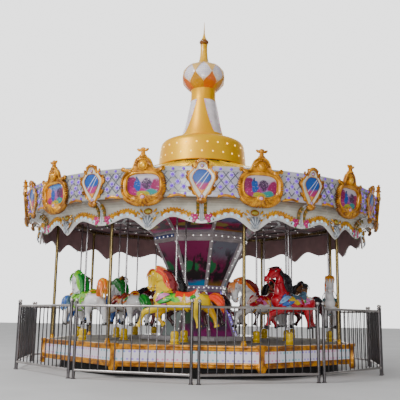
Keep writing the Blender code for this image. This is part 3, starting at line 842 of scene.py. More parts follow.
def polePieces():
    heap, gilt = Heap(), Heap()
    foot, bar = poles["foot"], poles["bar"]
    for azimuth in around(poles["count"], poles["phase"]):
        spot = Matrix.Translation(polar(poles["radius"], azimuth))
        heap.turned(((bar, foot + 0.05), (bar, poles["top"])), 20, matrix=spot)
        dome = [(0.056, foot), (0.056, foot + 0.010), (0.048, foot + 0.016)]
        dome += [(0.050 * cos(a), foot + 0.022 + 0.050 * sin(a)) for a in (0.0, 0.3, 0.6, 0.9)]
        dome += [(bar + 0.004, foot + 0.066), (bar + 0.006, foot + 0.076), (bar + 0.001, foot + 0.082)]
        gilt.turned(dome, 24, matrix=spot)
        capital = ((bar - 0.002, 2.98), (bar + 0.012, 2.985), (bar + 0.012, 3.0), (bar + 0.004, 3.01),
                   (bar + 0.020, 3.035), (bar + 0.022, 3.047), (bar - 0.002, 3.05))
        heap.turned(capital, 20, matrix=spot)
    high = 3.12 - clearance
    beam = ((3.105, high - 0.07), (3.195, high - 0.07), (3.195, high), (3.105, high))
    heap.turned(beam, poles["count"], ring=True, phase=poles["phase"])
    fit(heap, "pole_bars", "bronze", 40, "bronze_pole", "pole_frame")
    fit(gilt, "pole_gilding", "brightGold", 40, "gold_paint")


polePieces()
print("poles done")

# Horses

horse = {"voxel": 0.0165, "rounds": 3, "keep": 0.36, "rod": 0.0182, "rodFoot": 0.586, "rodTop": 3.395,
         "tailLocks": 9, "poll": (0.30, 1.785), "withers": (0.12, 1.44)}
horseRingsPlan = {  # forward, height, half width, half depth, lean in degrees
    "torso": ((-0.63, 1.31, 0.05, 0.06, 0), (-0.60, 1.315, 0.10, 0.10, 0), (-0.54, 1.315, 0.145, 0.125, 0),
              (-0.45, 1.31, 0.165, 0.14, 0), (-0.33, 1.30, 0.16, 0.14, 0), (-0.18, 1.295, 0.165, 0.145, 0),
              (0.0, 1.295, 0.17, 0.15, 0), (0.12, 1.30, 0.165, 0.152, 0), (0.22, 1.32, 0.15, 0.15, 0),
              (0.30, 1.33, 0.12, 0.12, 0), (0.36, 1.335, 0.07, 0.08, 0)),
    "neck": ((0.16, 1.36, 0.13, 0.17, -40), (0.195, 1.45, 0.11, 0.162, -62),
             (0.225, 1.535, 0.092, 0.138, -75), (0.24, 1.61, 0.08, 0.118, -80),
             (0.252, 1.685, 0.073, 0.10, -70), (0.275, 1.755, 0.068, 0.085, -45),
             (0.325, 1.805, 0.06, 0.07, -10)),
    "head": ((0.345, 1.825, 0.05, 0.05, 30), (0.39, 1.80, 0.072, 0.080, 55),
             (0.42, 1.745, 0.080, 0.092, 80), (0.432, 1.682, 0.066, 0.088, 88),
             (0.444, 1.618, 0.054, 0.070, 92), (0.452, 1.56, 0.050, 0.058, 95),
             (0.455, 1.515, 0.048, 0.050, 95), (0.452, 1.488, 0.03, 0.035, 95)),
}
# how far the neck nods at the withers and the head at the poll, in degrees
headPoses = {"tucked": (0, 0), "raised": (-7, -36), "level": (-3, -16), "lowered": (29, -14)}
horseLegs = (  # 1 for a leg on the outer side, -1 for an inner one; forward, side, height, radius
    (1, ((0.17, 0.055, 1.31, 0.105), (0.25, 0.085, 1.23, 0.090), (0.40, 0.100, 1.155, 0.066),
         (0.535, 0.100, 1.118, 0.051), (0.578, 0.096, 1.045, 0.040), (0.602, 0.094, 0.965, 0.034),
         (0.612, 0.094, 0.925, 0.040), (0.626, 0.094, 0.893, 0.034))),
    (-1, ((0.15, 0.055, 1.31, 0.105), (0.22, 0.085, 1.20, 0.088), (0.30, 0.095, 1.11, 0.062),
          (0.345, 0.095, 1.055, 0.049), (0.315, 0.093, 1.00, 0.038), (0.275, 0.092, 0.955, 0.034),
          (0.250, 0.092, 0.930, 0.040), (0.235, 0.092, 0.912, 0.034))),
    (1, ((-0.44, 0.070, 1.32, 0.130), (-0.41, 0.090, 1.22, 0.105), (-0.385, 0.098, 1.14, 0.072),
         (-0.380, 0.098, 1.075, 0.050), (-0.400, 0.096, 1.01, 0.038), (-0.420, 0.095, 0.945, 0.035),
         (-0.428, 0.094, 0.918, 0.041), (-0.436, 0.094, 0.893, 0.035))),
    (-1, ((-0.50, 0.070, 1.31, 0.125), (-0.58, 0.088, 1.20, 0.095), (-0.645, 0.096, 1.11, 0.066),
          (-0.685, 0.096, 1.035, 0.050), (-0.695, 0.094, 0.99, 0.038), (-0.710, 0.093, 0.945, 0.035),
          (-0.717, 0.092, 0.925, 0.041), (-0.723, 0.092, 0.905, 0.035))),
)


def oval(x, z, wide, deep, lean, sides=20, grow=0.0):
    turn = radians(lean)
    up = at(sin(turn), 0, cos(turn))
    return [at(x, (wide + grow) * sin(a), z) + up * (deep + grow) * cos(a) for a in spokes(sides)]


def nodded(rings, pivot, nod):
    turn = radians(nod)
    made = []
    for x, z, wide, deep, lean in rings:
        dx, dz = x - pivot[0], z - pivot[1]
        made.append((pivot[0] + dx * cos(turn) + dz * sin(turn),
                     pivot[1] - dx * sin(turn) + dz * cos(turn), wide, deep, lean + nod))
    return made


def posedRings(pose):
    neckNod, headNod = headPoses[pose]
    neck = []
    for k, ring in enumerate(horseRingsPlan["neck"]):
        neck += nodded([ring], horse["withers"], neckNod * k / (len(horseRingsPlan["neck"]) - 1))
    head = nodded(horseRingsPlan["head"], horse["withers"], neckNod)
    poll = nodded([(*horse["poll"], 0, 0, 0)], horse["withers"], neckNod)[0][:2]
    return neck, nodded(head, poll, headNod)


def headPlace(head, ring, side, up, out=1.0):
    # a place on the head: at a ring, side and up as shares of its half sizes
    x, z, wide, deep, lean = head[ring]
    turn = radians(lean)
    return at(x + sin(turn) * deep * up * out, wide * side * out, z + cos(turn) * deep * up * out)


def torsoAt(x):
    rings = horseRingsPlan["torso"]
    for low, high in zip(rings, rings[1:]):
        if low[0] <= x <= high[0]:
            return spread(low, high, (x - low[0]) / (high[0] - low[0]))
    return rings[-1]


def torsoPoint(x, angle, grow):
    # a place on the barrel: angle in degrees from the back, towards the outer side
    _, z, wide, deep, _ = torsoAt(x)
    turn = radians(angle)
    return at(x, (wide + grow) * sin(turn), z + (deep + grow) * cos(turn))


def bodyMesh(pose):
    # the bare horse, its parts grown together and smoothed
    neck, head = posedRings(pose)
    heap = Heap()
    for rings, count in ((horseRingsPlan["torso"], 28), (neck, 20), (head, 22)):
        heap.loft([oval(*ring) for ring in through(rings, count)])
    for side, points in horseLegs:
        path = through(points, 26)
        spots = [at(p[0], p[1] * side, p[2]) for p in path]
        heap.tube(spots, lambda t, path=path: path[round(t * (len(path) - 1))][3], 14)
    for side in (1, -1):
        heap.ball((-0.44, side * 0.085, 1.325), (0.15, 0.10, 0.125))
        heap.ball((0.19, side * 0.08, 1.315), (0.11, 0.085, 0.14))
        heap.ball(headPlace(head, 2, side * 0.60, -0.35), (0.062, 0.038, 0.062))
        heap.ball(headPlace(head, 1, side * 0.75, 0.55), (0.034, 0.026, 0.028))
        heap.ball(headPlace(head, 5, side * 0.68, 0.55), 0.030)
    heap.ball((0.30, 0, 1.36), (0.11, 0.12, 0.12))
    heap.ball(headPlace(head, 6, 0, -0.75), (0.036, 0.034, 0.036))
    obj = heap.made("horse_form", paints["enamel"])
    remesh = obj.modifiers.new("grown together", "REMESH")
    remesh.mode = "VOXEL"
    remesh.voxel_size = horse["voxel"]
    smooth = obj.modifiers.new("smoothed", "SMOOTH")
    smooth.factor = 0.5
    smooth.iterations = horse["rounds"]
    thin(obj, horse["keep"])
    bake(obj)
    mesh = obj.data
    bpy.data.objects.remove(obj)
    return mesh


def lock(heap, path, thick, root, tip, flat=0.55, sides=6):
    # one wavy lock of mane or tail, thickest a third of the way along
    curve = through(path, 8)

    def size(t):
        return thick * (0.55 + 0.9 * t * (1 - t) * 2.0) * (1 - t ** 3 * 0.92)

    heap.tube(curve, size, sides, lambda i, k: spread(root, tip, min(i / 6, 1)), flat=flat)


def mane(heap, neck, head, look):
    # an arc of locks from the forelock over the crest to the withers, deep-coloured ones behind
    crest = []
    for x, z, _, deep, lean in reversed(neck):
        turn = radians(lean)
        crest.append(at(x + sin(turn) * deep * 0.86, 0, z + cos(turn) * deep * 0.86))
    line = through([headPlace(head, 0, 0, 0.6)] + crest, 19)
    middle = at(neck[3][0] + 0.05, 0, neck[3][1])
    arcs = [(root, (root - middle).normalized()) for root in line]
    for strand in range(5):
        share = strand / 4
        for side in (1, -1) if strand < 4 else (1,):
            path = []
            for k, (root, away) in enumerate(arcs[: 17 - strand % 2]):
                wave = 0.006 * sin(k * 1.3 + strand * 2)
                lift = -0.035 + 0.105 * share ** 0.9 + wave
                path.append(root + away * lift + at(0, side * 0.072 * (1 - share ** 1.6), 0))
            thick = 0.026 - 0.006 * share
            hue = look["maneEdge"] if strand == 4 else spread(look["mane"], look["maneEdge"],
                                                              0.25 * (strand % 2))
            heap.tube(path, lambda t: thick * (1 - 0.75 * t ** 4) * (0.75 + 0.25 * sin(t * 3.1)), 8, hue)
    foot = at(-0.06, 0, 1.485)
    for k in range(4, 18):
        root, away = arcs[k]
        t = (k - 4) / 13
        for side in (1, -1):
            end = foot + at(0.12 * t, side * 0.055, 0.10 * (1 - t) * (k % 3) / 2)
            start = root + at(0, side * 0.030, 0)
            halfway = (start + end) * 0.5 + away * (0.070 - 0.02 * t) + at(0, side * 0.02, 0)
            lock(heap, [start, start.lerp(halfway, 0.5) + away * 0.03, halfway, halfway.lerp(end, 0.55),
                        end], 0.046, look["maneBack"], look["maneBack"], 0.75)
    for k in range(7):
        side = (k - 3) * 0.30
        start = headPlace(head, 0, side * 0.6, 0.7)
        over = headPlace(head, 1, side * 1.1, 1.10) + at(0.002, 0, 0.012 - 0.003 * abs(k - 3))
        ring = look["forelock"] - k % 2
        ends = [headPlace(head, r, side * 1.25, 1.06) for r in range(2, ring + 1)]
        lock(heap, [start, start.lerp(over, 0.6) + at(0, 0, 0.014), over, *ends], 0.026, look["mane"],
             look["maneEdge"])


def tail(heap, look):
    for k in range(horse["tailLocks"]):
        t = k / (horse["tailLocks"] - 1)
        side = sin(k * 2.4) * 0.055
        lift = 0.075 * cos(k * 2.4) + 0.01
        rise = look["tailRise"]
        path = [(-0.575, side * 0.2, 1.365), (-0.66, side * 0.7, 1.385 + lift * 0.5 + rise * 0.5),
                (-0.75, side * 1.2, 1.345 + lift + rise * 0.9),
                (-0.825, side * 1.3, 1.275 + lift * 1.2 + rise),
                (-0.868 + 0.02 * t, side * 1.5, 1.205 + lift + rise * 0.9),
                (-0.86, side * 1.6, 1.160 + lift * 0.8 + rise * 0.7)]
        tints = (look["tail"], look["tailTip"])
        lock(heap, path, 0.052, tints[k % 3 == 2], tints[k % 3 != 0], 0.8, 8)


def leather(look):
    # bridle, reins and rings, painted close to the coat
    return spread(look["body"], look["shade"], 0.35)


def hooves(heap, look):
    for side, points in horseLegs:
        (x0, y0, z0, _), (x1, y1, z1, r1) = points[-2], points[-1]
        start, end = at(x0, y0 * side, z0), at(x1, y1 * side, z1)
        along = (end - start).normalized()
        path = [end - along * 0.006, end + along * 0.004, end + along * 0.034]
        heap.tube(path, lambda t: r1 + 0.006 + 0.012 * t, 14, look["hoof"])
        ring = [start + along * 0.012, start + along * 0.028]
        heap.tube(ring, lambda t: r1 + 0.010, 14, leather(look))


def barrelShell(heap, start, end, spreadAngle, grow, tint, edge=0.0, rows=24, columns=26):
    # cloth or leather lying on the barrel, its lower edge scalloped by edge
    rings = []
    for i in range(rows + 1):
        t = i / rows
        x = start + (end - start) * t
        reach = spreadAngle * (1 - edge * abs(sin(pi * 3 * t)))
        outer = [torsoPoint(x, -reach + 2 * reach * k / columns, grow) for k in range(columns + 1)]
        inner = [torsoPoint(x, reach - 2 * reach * k / columns, -0.01) for k in range(columns + 1)]
        rings.append(outer + inner)
    heap.loft(rings, tint)


def blanketTint(look, rows=24, columns=26):
    stripes = look["blanket"]

    def tint(i, k):
        along = i / rows
        side = abs((k if k <= columns else 2 * columns + 1 - k) / columns - 0.5) * 2
        wave = along + 0.05 * sin(side * 9)
        if side > 0.93:
            return look["trim"]
        if wave > 0.72:
            petal = ((wave - 0.86) / 0.09) ** 2 + ((side - 0.62) / 0.16) ** 2
            return stripes[0] if petal > 1 or petal < 0.12 else stripes[1]
        if wave > 0.58:
            return stripes[1]
        flower = ((wave - 0.32) / 0.20) ** 2 + ((side - 0.60) / 0.24) ** 2
        if flower < 0.16:
            return look["trim"]
        if flower < 0.75:
            return stripes[3]
        return stripes[2]

    return tint


def harness(heap, neck, head, look):
    # saddle with pommel and cantle, blanket, girth, breast strap, bridle and reins
    barrelShell(heap, -0.43, 0.15, 96, 0.016, blanketTint(look), 0.10)
    barrelShell(heap, -0.37, -0.02, 62, 0.030, look["saddle"], 0.16, 14, 18)
    seat = []
    for t in range(13):
        x = -0.385 + 0.365 * t / 12
        dip = abs(t / 12 - 0.52) / 0.52
        top = 1.475 + 0.060 * dip ** 2.4 * (1.15 if t < 6 else 0.55)
        wide = 0.115 - 0.030 * dip ** 2
        seat.append([at(x, wide * sin(a), top - 0.045 + 0.045 * cos(a)) for a in spokes(14)])
    heap.loft(seat, look["saddle"])
    for x, top, wide in ((-0.392, 1.508, 0.082), (-0.012, 1.488, 0.052)):
        roll = [at(x, wide * sin(a), top - 0.045 + 0.045 * cos(a))
                for a in (radians(-100 + 200 * k / 12) for k in range(13))]
        heap.tube(roll, 0.017, 8, look["trim"])
    for x, grow in ((-0.20, 0.024), (0.165, 0.022)):
        ring = [torsoPoint(x + 0.03 * cos(radians(a)), a, grow) for a in range(0, 360, 15)]
        heap.tube(ring, 0.022, 6, look["strap"], loop=True, flat=0.4)
    for index, grow in ((1, 0.012), (4, 0.008)):
        heap.tube(oval(*neck[index], 24, grow), 0.014, 6, leather(look), loop=True, flat=0.6)
    for index in (2, 5):
        heap.tube(oval(*head[index], 20, 0.008), 0.010, 6, leather(look), loop=True)
    for side in (1, -1):
        cheek = [headPlace(head, k, side * 1.06, 0.1) for k in (1, 2, 3, 4, 5)]
        heap.tube(cheek, 0.009, 6, leather(look))
        rein = through([headPlace(head, 5, side * 1.1, 0), at(0.30, side * 0.125, 1.55),
                        at(0.14, side * 0.145, 1.46), at(-0.01, side * 0.05, 1.48)], 12)
        heap.tube(rein, 0.0075, 6, leather(look))
        heap.ball(headPlace(head, 5, side * 1.12, 0), 0.017, look["trim"], 6, 8)
        for angle in (40, 62, 84, 106):
            spot = torsoPoint(0.165 + 0.03 * cos(radians(angle)), side * angle, 0.030)
            heap.ball(spot, 0.013, look["gem"], 6, 8)
        stirrup = [torsoPoint(-0.16, side * a, 0.034) for a in (62, 74, 86)]
        heap.tube(stirrup, 0.012, 6, leather(look), flat=0.5)


def face(heap, head, look):
    for side in (1, -1):
        eye = headPlace(head, 2, side * 0.99, 0.42)
        heap.ball(eye, (0.021, 0.012, 0.017), (0.92, 0.90, 0.86), 8, 12)
        pupil = eye + at(0.003, side * 0.0065, -0.001)
        heap.ball(pupil, (0.012, 0.0085, 0.012), (0.015, 0.012, 0.012), 8, 12)
        # a white dot on each eye: a painted highlight
        heap.ball(eye + at(0.006, side * 0.0135, 0.004), (0.003, 0.003, 0.003), (1, 1, 1), 5, 6)
        lid = [eye + at(0.024 * cos(a), side * 0.006, 0.019 * sin(a))
               for a in (radians(d) for d in (10, 45, 90, 135, 175))]
        heap.tube(lid, lambda t: 0.005 + 0.003 * sin(pi * t), 6, look["shade"])
        nostril = headPlace(head, 6, side * 0.86, 0.50)
        heap.ball(nostril, (0.011, 0.009, 0.015), look["nostril"], 6, 8)
        ear = headPlace(head, 0, side * 0.72, 0.55)
        back = headPlace(head, 0, side * 0.72, 0.55, 0.4)
        lean = (ear - back).normalized()
        tip = ear + at(-0.012, side * 0.022, 0.062) + lean * 0.012
        heap.tube([ear - at(0, 0, 0.02), ear + (tip - ear) * 0.3, ear + (tip - ear) * 0.65, tip],
                  lambda t: 0.030 * (1 - t) ** 0.6 * (0.75 + 0.9 * t) + 0.002, 8, look["body"], flat=0.6)
        mouth = [headPlace(head, k, side * s, u, 1.02)
                 for k, s, u in ((7, 0.3, 0.1), (6, 0.8, -0.25), (5, 0.92, -0.35))]
        heap.tube(mouth, 0.006, 6, look["nostril"])
        teeth = [headPlace(head, 7, side * 0.2, 0.0, 1.0), headPlace(head, 7, side * 0.9, -0.1, 1.05)]
        heap.tube(teeth, 0.008, 6, (0.9, 0.88, 0.84))


def carving(heap, look):
    # leaves on both shoulders and a bow on both flanks, laid over the barrel
    for side in (1, -1):
        def lay(points, grow=0.030):
            return [torsoPoint(x, side * angle, grow) for x, angle in points]

        sweeps = (
            (((0.335, 100), (0.27, 76), (0.18, 56), (0.08, 46)), 0.050, look["leaf"]),
            (((0.30, 112), (0.23, 98), (0.13, 84), (0.04, 76)), 0.040, look["leafEdge"]),
            (((0.30, 84), (0.24, 52), (0.15, 34), (0.07, 30)), 0.034, look["leafEdge"]),
            (((0.27, 124), (0.20, 112), (0.12, 104)), 0.026, look["leaf"]),
        )
        for points, width, colour in sweeps:
            path = through(lay(points), 10)
            normal = at(0.12, side * 0.92, 0.36)
            heap.leaf(path, bud(width, 0.08, 0.90, 0.8), 0.014, normal, colour, sink=0.03)
        bow = (((-0.34, 40), (-0.36, 56), (-0.385, 70)), ((-0.36, 42), (-0.41, 52), (-0.45, 60)),
               ((-0.34, 48), (-0.315, 64), (-0.30, 80)), ((-0.37, 36), (-0.40, 28), (-0.42, 20)))
        for k, points in enumerate(bow):
            normal = at(0, side * 0.85, 0.5)
            heap.leaf(through(lay(points, 0.024), 8), bud(0.032, 0.1, 0.86, 0.7),
                      0.012, normal, look["bowEdge" if k % 2 else "bow"], sink=0.03)
        heap.ball(torsoPoint(-0.355, side * 44, 0.03), 0.020, look["gem"], 6, 10)


def bodyTintWithShade(look):
    body, shade = look["body"], look["shade"]

    def tint(centre):
        x, y, z = centre
        if look["face"] and z > 1.42 and x > 0.1:
            return spread(body, look["face"], min((z - 1.42) / 0.10, 1))
        # painted shade: the coat darkens under the belly and between the legs, where shade falls
        dark = 0.0
        if z < 1.24 and abs(y) < 0.06:
            dark = 0.6
        dark = max(dark, 0.5 * min(max((1.20 - z) / 0.12, 0), 1) * (abs(y) < 0.085))
        return spread(body, shade, dark)

    return tint


tones = {
    "yellow": (0.84, 0.58, 0.0), "amber": (0.78, 0.36, 0.0), "crimson": (0.52, 0.0, 0.014),
    "darkRed": (0.20, 0.004, 0.008), "scarlet": (0.88, 0.055, 0.012), "orange": (0.95, 0.20, 0.012),
    "paleOrange": (1.0, 0.42, 0.13), "ink": (0.008, 0.006, 0.010), "white": (0.86, 0.85, 0.86),
    "grey": (0.42, 0.42, 0.45), "green": (0.02, 0.42, 0.03), "teal": (0.02, 0.26, 0.28),
    "pink": (0.78, 0.20, 0.52), "blush": (0.92, 0.56, 0.48), "blue": (0.04, 0.15, 0.58),
    "skyBlue": (0.22, 0.46, 0.80), "steelBlue": (0.09, 0.19, 0.28), "maroon": (0.11, 0.012, 0.018),
    "brown": (0.14, 0.055, 0.022), "gold": (0.80, 0.38, 0.03), "violet": (0.20, 0.06, 0.42),
    "black": (0.02, 0.018, 0.02), "cream": (0.86, 0.78, 0.60), "lime": (0.22, 0.62, 0.01),
    "tan": (0.34, 0.13, 0.03), "leafGreen": (0.01, 0.26, 0.03),
}
lookParts = ("body", "shade", "mane", "maneEdge", "maneBack", "tail", "tailTip", "saddle",
             "trim", "strap", "leaf", "leafEdge", "bow", "hoof")
lookUsual = {"gem": (0.9, 0.6, 0.1), "nostril": (0.30, 0.03, 0.02), "bowEdge": (0.85, 0.86, 0.82),
             "pose": "tucked", "face": None, "tailRise": 0.0, "forelock": 3}


def look(coat, blanket, trims, **others):
    # one horse's colours: the tones of the first eight parts, of the blanket, and of the other parts
    hues = [tones[name] for name in (coat + " " + trims).split()]
    stripes = [tones[name] for name in blanket.split()]
    return {**lookUsual, **dict(zip(lookParts, hues)), "blanket": stripes, **others}


horseLooks = {
    "sun": look("yellow amber scarlet paleOrange darkRed scarlet orange scarlet",
                "green lime blush white", "cream yellow pink green green yellow"),
    "ruby": look("crimson darkRed ink maroon ink ink maroon steelBlue",
                 "gold yellow pink green", "cream crimson skyBlue blue pink ink", pose="raised"),
    "pearl": look("white grey orange gold grey white grey teal",
                  "teal white gold blue", "gold teal gold teal blue black", pose="level"),
    "meadow": look("white grey lime green leafGreen orange gold lime",
                   "lime lime lime green", "gold lime lime green lime black", tailRise=0.30, forelock=4),
    "night": look("blue steelBlue brown gold ink blue steelBlue crimson",
                  "violet gold blue white", "gold gold skyBlue white gold black", pose="level"),
    "snow": look("white grey leafGreen green leafGreen leafGreen green crimson",
                 "crimson gold orange white", "gold brown orange crimson green black", pose="lowered"),
    "dawn": look("white grey orange paleOrange darkRed darkRed scarlet crimson",
                 "crimson pink gold blush", "gold gold blush crimson pink black", pose="lowered"),
    "wine": look("maroon ink ink ink ink ink maroon gold",
                 "blue gold crimson white", "gold maroon gold green pink ink", face=tones["tan"]),
    "plum": look("maroon ink darkRed maroon ink darkRed maroon crimson",
                 "violet gold maroon gold", "gold maroon violet gold pink ink", pose="lowered"),
}
horseCast = {
    "horse_outer_1": "sun", "horse_outer_2": "ruby", "horse_outer_3": "pearl", "horse_outer_4": "wine",
    "horse_outer_5": "meadow", "horse_outer_6": "plum", "horse_outer_7": "night", "horse_outer_8": "meadow",
    "horse_inner_1": "wine", "horse_inner_2": "dawn", "horse_inner_3": "pearl", "horse_inner_4": "wine",
    "horse_inner_5": "ruby", "horse_inner_6": "dawn", "horse_inner_7": "night", "horse_inner_8": "snow",
}


def horsePieces():
    forms = {pose: bodyMesh(pose) for pose in headPoses}
    for name, radius, azimuth in horsePlaces():
        style = horseLooks[horseCast[name]]
        neck, head = posedRings(style["pose"])
        heap = Heap()
        heap.copyMesh(forms[style["pose"]], bodyTintWithShade(style))
        mane(heap, neck, head, style)
        tail(heap, style)
        hooves(heap, style)
        harness(heap, neck, head, style)
        face(heap, head, style)
        carving(heap, style)
        place = outward(radius, azimuth)
        settle(heap.made(name + "_carved", paints["enamel"], 45, place), name, "horse_enamel", name)
        rod = Heap()
        rod.turned(((horse["rod"], horse["rodFoot"]), (horse["rod"], horse["rodTop"])), 16)
        collar = ((0.019, 1.430), (0.036, 1.434), (0.036, 1.452), (0.026, 1.462), (0.030, 1.486),
                  (0.019, 1.492))
        rod.turned(collar, 16)
        under = ((0.019, 1.10), (0.030, 1.104), (0.038, 1.135), (0.032, 1.150), (0.019, 1.152))
        rod.turned(under, 16)
        settle(rod.made(name + "_rod", paints["rod"], 40, place), name, "stainless_steel")


horsePieces()
print("horses done")

# Pictures, whose paint reads each plate's own place: across and up from -1 to 1, and a number per plate


def picturePlate(name, plates, paint, rim=0.0, rows=6):
    # plates are (matrix, outline, half width, half height, centre height, number); outlines lie in X-Z
    points, faces, places = [], [], []
    for matrix, outline, wide, high, middle, number in plates:
        base, count = len(points), len(outline)
        for i in range(rows + 1):
            share = 1 - i / (rows + 0.5)
            for p in outline:
                spot = at(p[0] * share, p[1], middle + (p[2] - middle) * share)
                points.append(matrix @ (spot + at(0, rim * (1 - share ** 3), 0)))
                places.append((spot.x / wide, (spot.z - middle) / high, number))
        for i in range(rows):
            for k in range(count):
                m = (k + 1) % count
                faces.append((base + i * count + k, base + i * count + m,
                              base + (i + 1) * count + m, base + (i + 1) * count + k))
        faces.append(tuple(base + rows * count + k for k in range(count)))
    mesh = bpy.data.meshes.new(name)
    mesh.from_pydata(points, [], faces)
    layer = mesh.attributes.new("place", "FLOAT_VECTOR", "POINT")
    layer.data.foreach_set("vector", [c for p in places for c in p])
    mesh.shade_smooth()
    mesh.materials.append(paint)
    first = mesh.polygons[0]
    out = first.center.copy()
    out.z = 0
    if first.normal.dot(out) < 0:
        mesh.flip_normals()
    return linked(name, mesh)


def platePlace(paint):
    # the plate's own place, its edges wavering as brushwork does
    place = paint.add("Attribute", {"attribute_name": "place"}, out=1)
    u, v, number = (place.part(c) for c in "XYZ")
    waver = paint.add("TexNoise", sockets={"Vector": place, "Scale": 2.6, "Detail": 4}, out=1)
    return u + (waver.part("X") - 0.5) * 0.34, v + (waver.part("Y") - 0.5) * 0.34, number, place


def gardenPaint():
    # bushes either side of a blue tree by a pond, under a lilac sky
    paint = Paint("painted garden", roughness=0.4, coatWeight=0.2, coatRoughness=0.2)
    u, v, number, place = platePlace(paint)
    shift = ((number * 0.37).maths("FRACT") - 0.5) * 0.5
    bluish = 1 - (number * 0.25 + 0.5).maths("FRACT").between(0.05, 0.15)
    fine = paint.noise(7.0, 3, place)
    haze = paint.mix(bluish, (0.58, 0.53, 0.60), (0.03, 0.18, 0.52))
    bush = paint.mix(bluish, (0.22, 0.003, 0.08), (0.80, 0.26, 0.0))
    colour = paint.mix(v.between(-0.1, 0.8), (0.34, 0.08, 0.32), haze)
    for centre, reach, hue in (((0.72, 0.05), (0.42, 0.75), bush),
                               ((0.45, -0.62), (0.55, 0.42), (0.36, 0.004, 0.14)),
                               ((-0.80, -0.1), (0.34, 0.60), (0.28, 0.003, 0.09))):
        colour = paint.mix(paint.spot(u, v, centre, reach, 0.3), colour, hue)
    colour = paint.mix(paint.spot(u + shift, v, (-0.42, 0.10), (0.28, 0.50), 0.35) * fine.between(0.30, 0.5),
                       colour, (0.05, 0.02, 0.06))
    colour = paint.mix(paint.spot(u, v, (-0.48, -0.70), (0.34, 0.34), 0.3), colour, (0.02, 0.26, 0.25))
    colour = paint.mix(paint.spot(u, v, (0.05, -0.85), (0.40, 0.30), 0.3), colour, (0.42, 0.40, 0.01))
    colour = paint.mix(paint.spot(u + shift * 0.4, v, (0.26, -0.05), (0.22, 0.56), 0.2), colour,
                       (0.004, 0.075, 0.36))
    colour = paint.mix(paint.spot(u + shift * 0.4, v, (0.28, 0.55), (0.06, 0.24), 0.3), colour,
                       (0.02, 0.05, 0.16))
    colour = paint.mix(fine.between(0.58, 0.7) * 0.4, colour, (0.80, 0.62, 0.78))
    paint.set(baseColor=colour)
    return paint.made


def gemPicturePaint():
    # blue over magenta over orange, with two pale slanting streaks
    paint = Paint("painted diamond", roughness=0.5, coatWeight=0.15, coatRoughness=0.3)
    _, v, _, place = platePlace(paint)
    fine = paint.noise(6.0, 3, place)
    colour = paint.mix(v.between(-0.28, 0.05), (0.46, 0.02, 0.16), (0.003, 0.075, 0.36))
    colour = paint.mix(v.between(-0.72, -0.55), (0.90, 0.36, 0.01), colour)
    colour = paint.mix(fine.between(0.55, 0.7) * 0.5, colour, (0.03, 0.20, 0.60))
    for slope, shift in ((-0.9, 0.28), (-1.2, -0.22)):
        along = place.part("X") * slope - place.part("Y") + shift
        streak = 1 - along.maths("ABSOLUTE").between(0.02, 0.07)
        colour = paint.mix(streak * place.part("Y").between(-0.75, -0.4) * 0.9, colour, (0.66, 0.68, 0.80))
    paint.set(baseColor=colour)
    return paint.made


def housingPaint(name, sky, flower, dark, hill, foot, bare=0):
    # centre panels lit from inside: sky, blossom, dark foliage, a hill and a band of colour at the foot;
    # the panel numbered bare has the sky alone
    paint = Paint(name, roughness=0.35, coatWeight=0.4, coatRoughness=0.2, emissionStrength=0.12)
    u, v, number, place = platePlace(paint)
    pick = (number * 0.45).maths("FRACT")
    fine = paint.noise(5.0, 4, place)
    shifted = paint.add("CombineXYZ", sockets={0: u, 1: v, 2: number * 3.7})
    broad = paint.noise(1.9, 5, shifted)
    faded = tuple(c * 0.55 for c in flower)
    colour = paint.mix(pick.between(0.7, 0.85), flower, sky)
    colour = paint.mix(v.between(0.0, 0.6), paint.mix(fine.between(0.4, 0.6), flower, faded), colour)
    colour = paint.mix(broad.between(0.53, 0.58) * (1 - v.between(0.35, 0.75)), colour, dark)
    colour = paint.mix(paint.spot(u - pick * 0.5, v, (0.22, -0.14), (0.46, 0.28), 0.3), colour, hill)
    colour = paint.mix(paint.spot(u + pick * 0.7, v, (0.1, -0.50), (0.62, 0.22), 0.3), colour, dark)
    trunk = paint.spot(u + pick * 0.6 + v * 0.2, v, (0.12, -0.05), (0.07, 0.42), 0.3)
    colour = paint.mix(trunk, colour, dark)
    low = paint.mix(pick.between(0.5, 0.8), foot, (0.22, 0.11, 0.02))
    colour = paint.mix(1 - v.between(-0.86, -0.66), colour, low)
    colour = paint.mix(fine.between(0.60, 0.68) * 0.6, colour, flower)
    colour = paint.mix((number - bare).maths("ABSOLUTE").between(0.2, 0.4), sky, colour)
    paint.set(baseColor=colour, emissionColor=colour)
    return paint.made


# Centre housing

housing = {"sides": 8, "phase": 13.0, "foot": 0.5675, "skirt": 0.89, "waist": 0.52, "waistZ": 1.62,
           "collar": 1.03, "collarZ": 2.68, "topZ": 3.1195, "top": 1.42, "rib": 0.028,
           "pictures": (16, 11, 13)}


def facet(azimuth, lowRadius, lowZ, highRadius, highZ):
    # the frame on one flat of the housing, its half widths at the foot and the head, and its height
    half = pi / housing["sides"]
    near, far = lowRadius * cos(half), highRadius * cos(half)
    height = hypot(far - near, highZ - lowZ)
    lean = atan2(far - near, highZ - lowZ)
    return (outward(near, azimuth, lowZ, lean), lowRadius * sin(half), highRadius * sin(half), height)


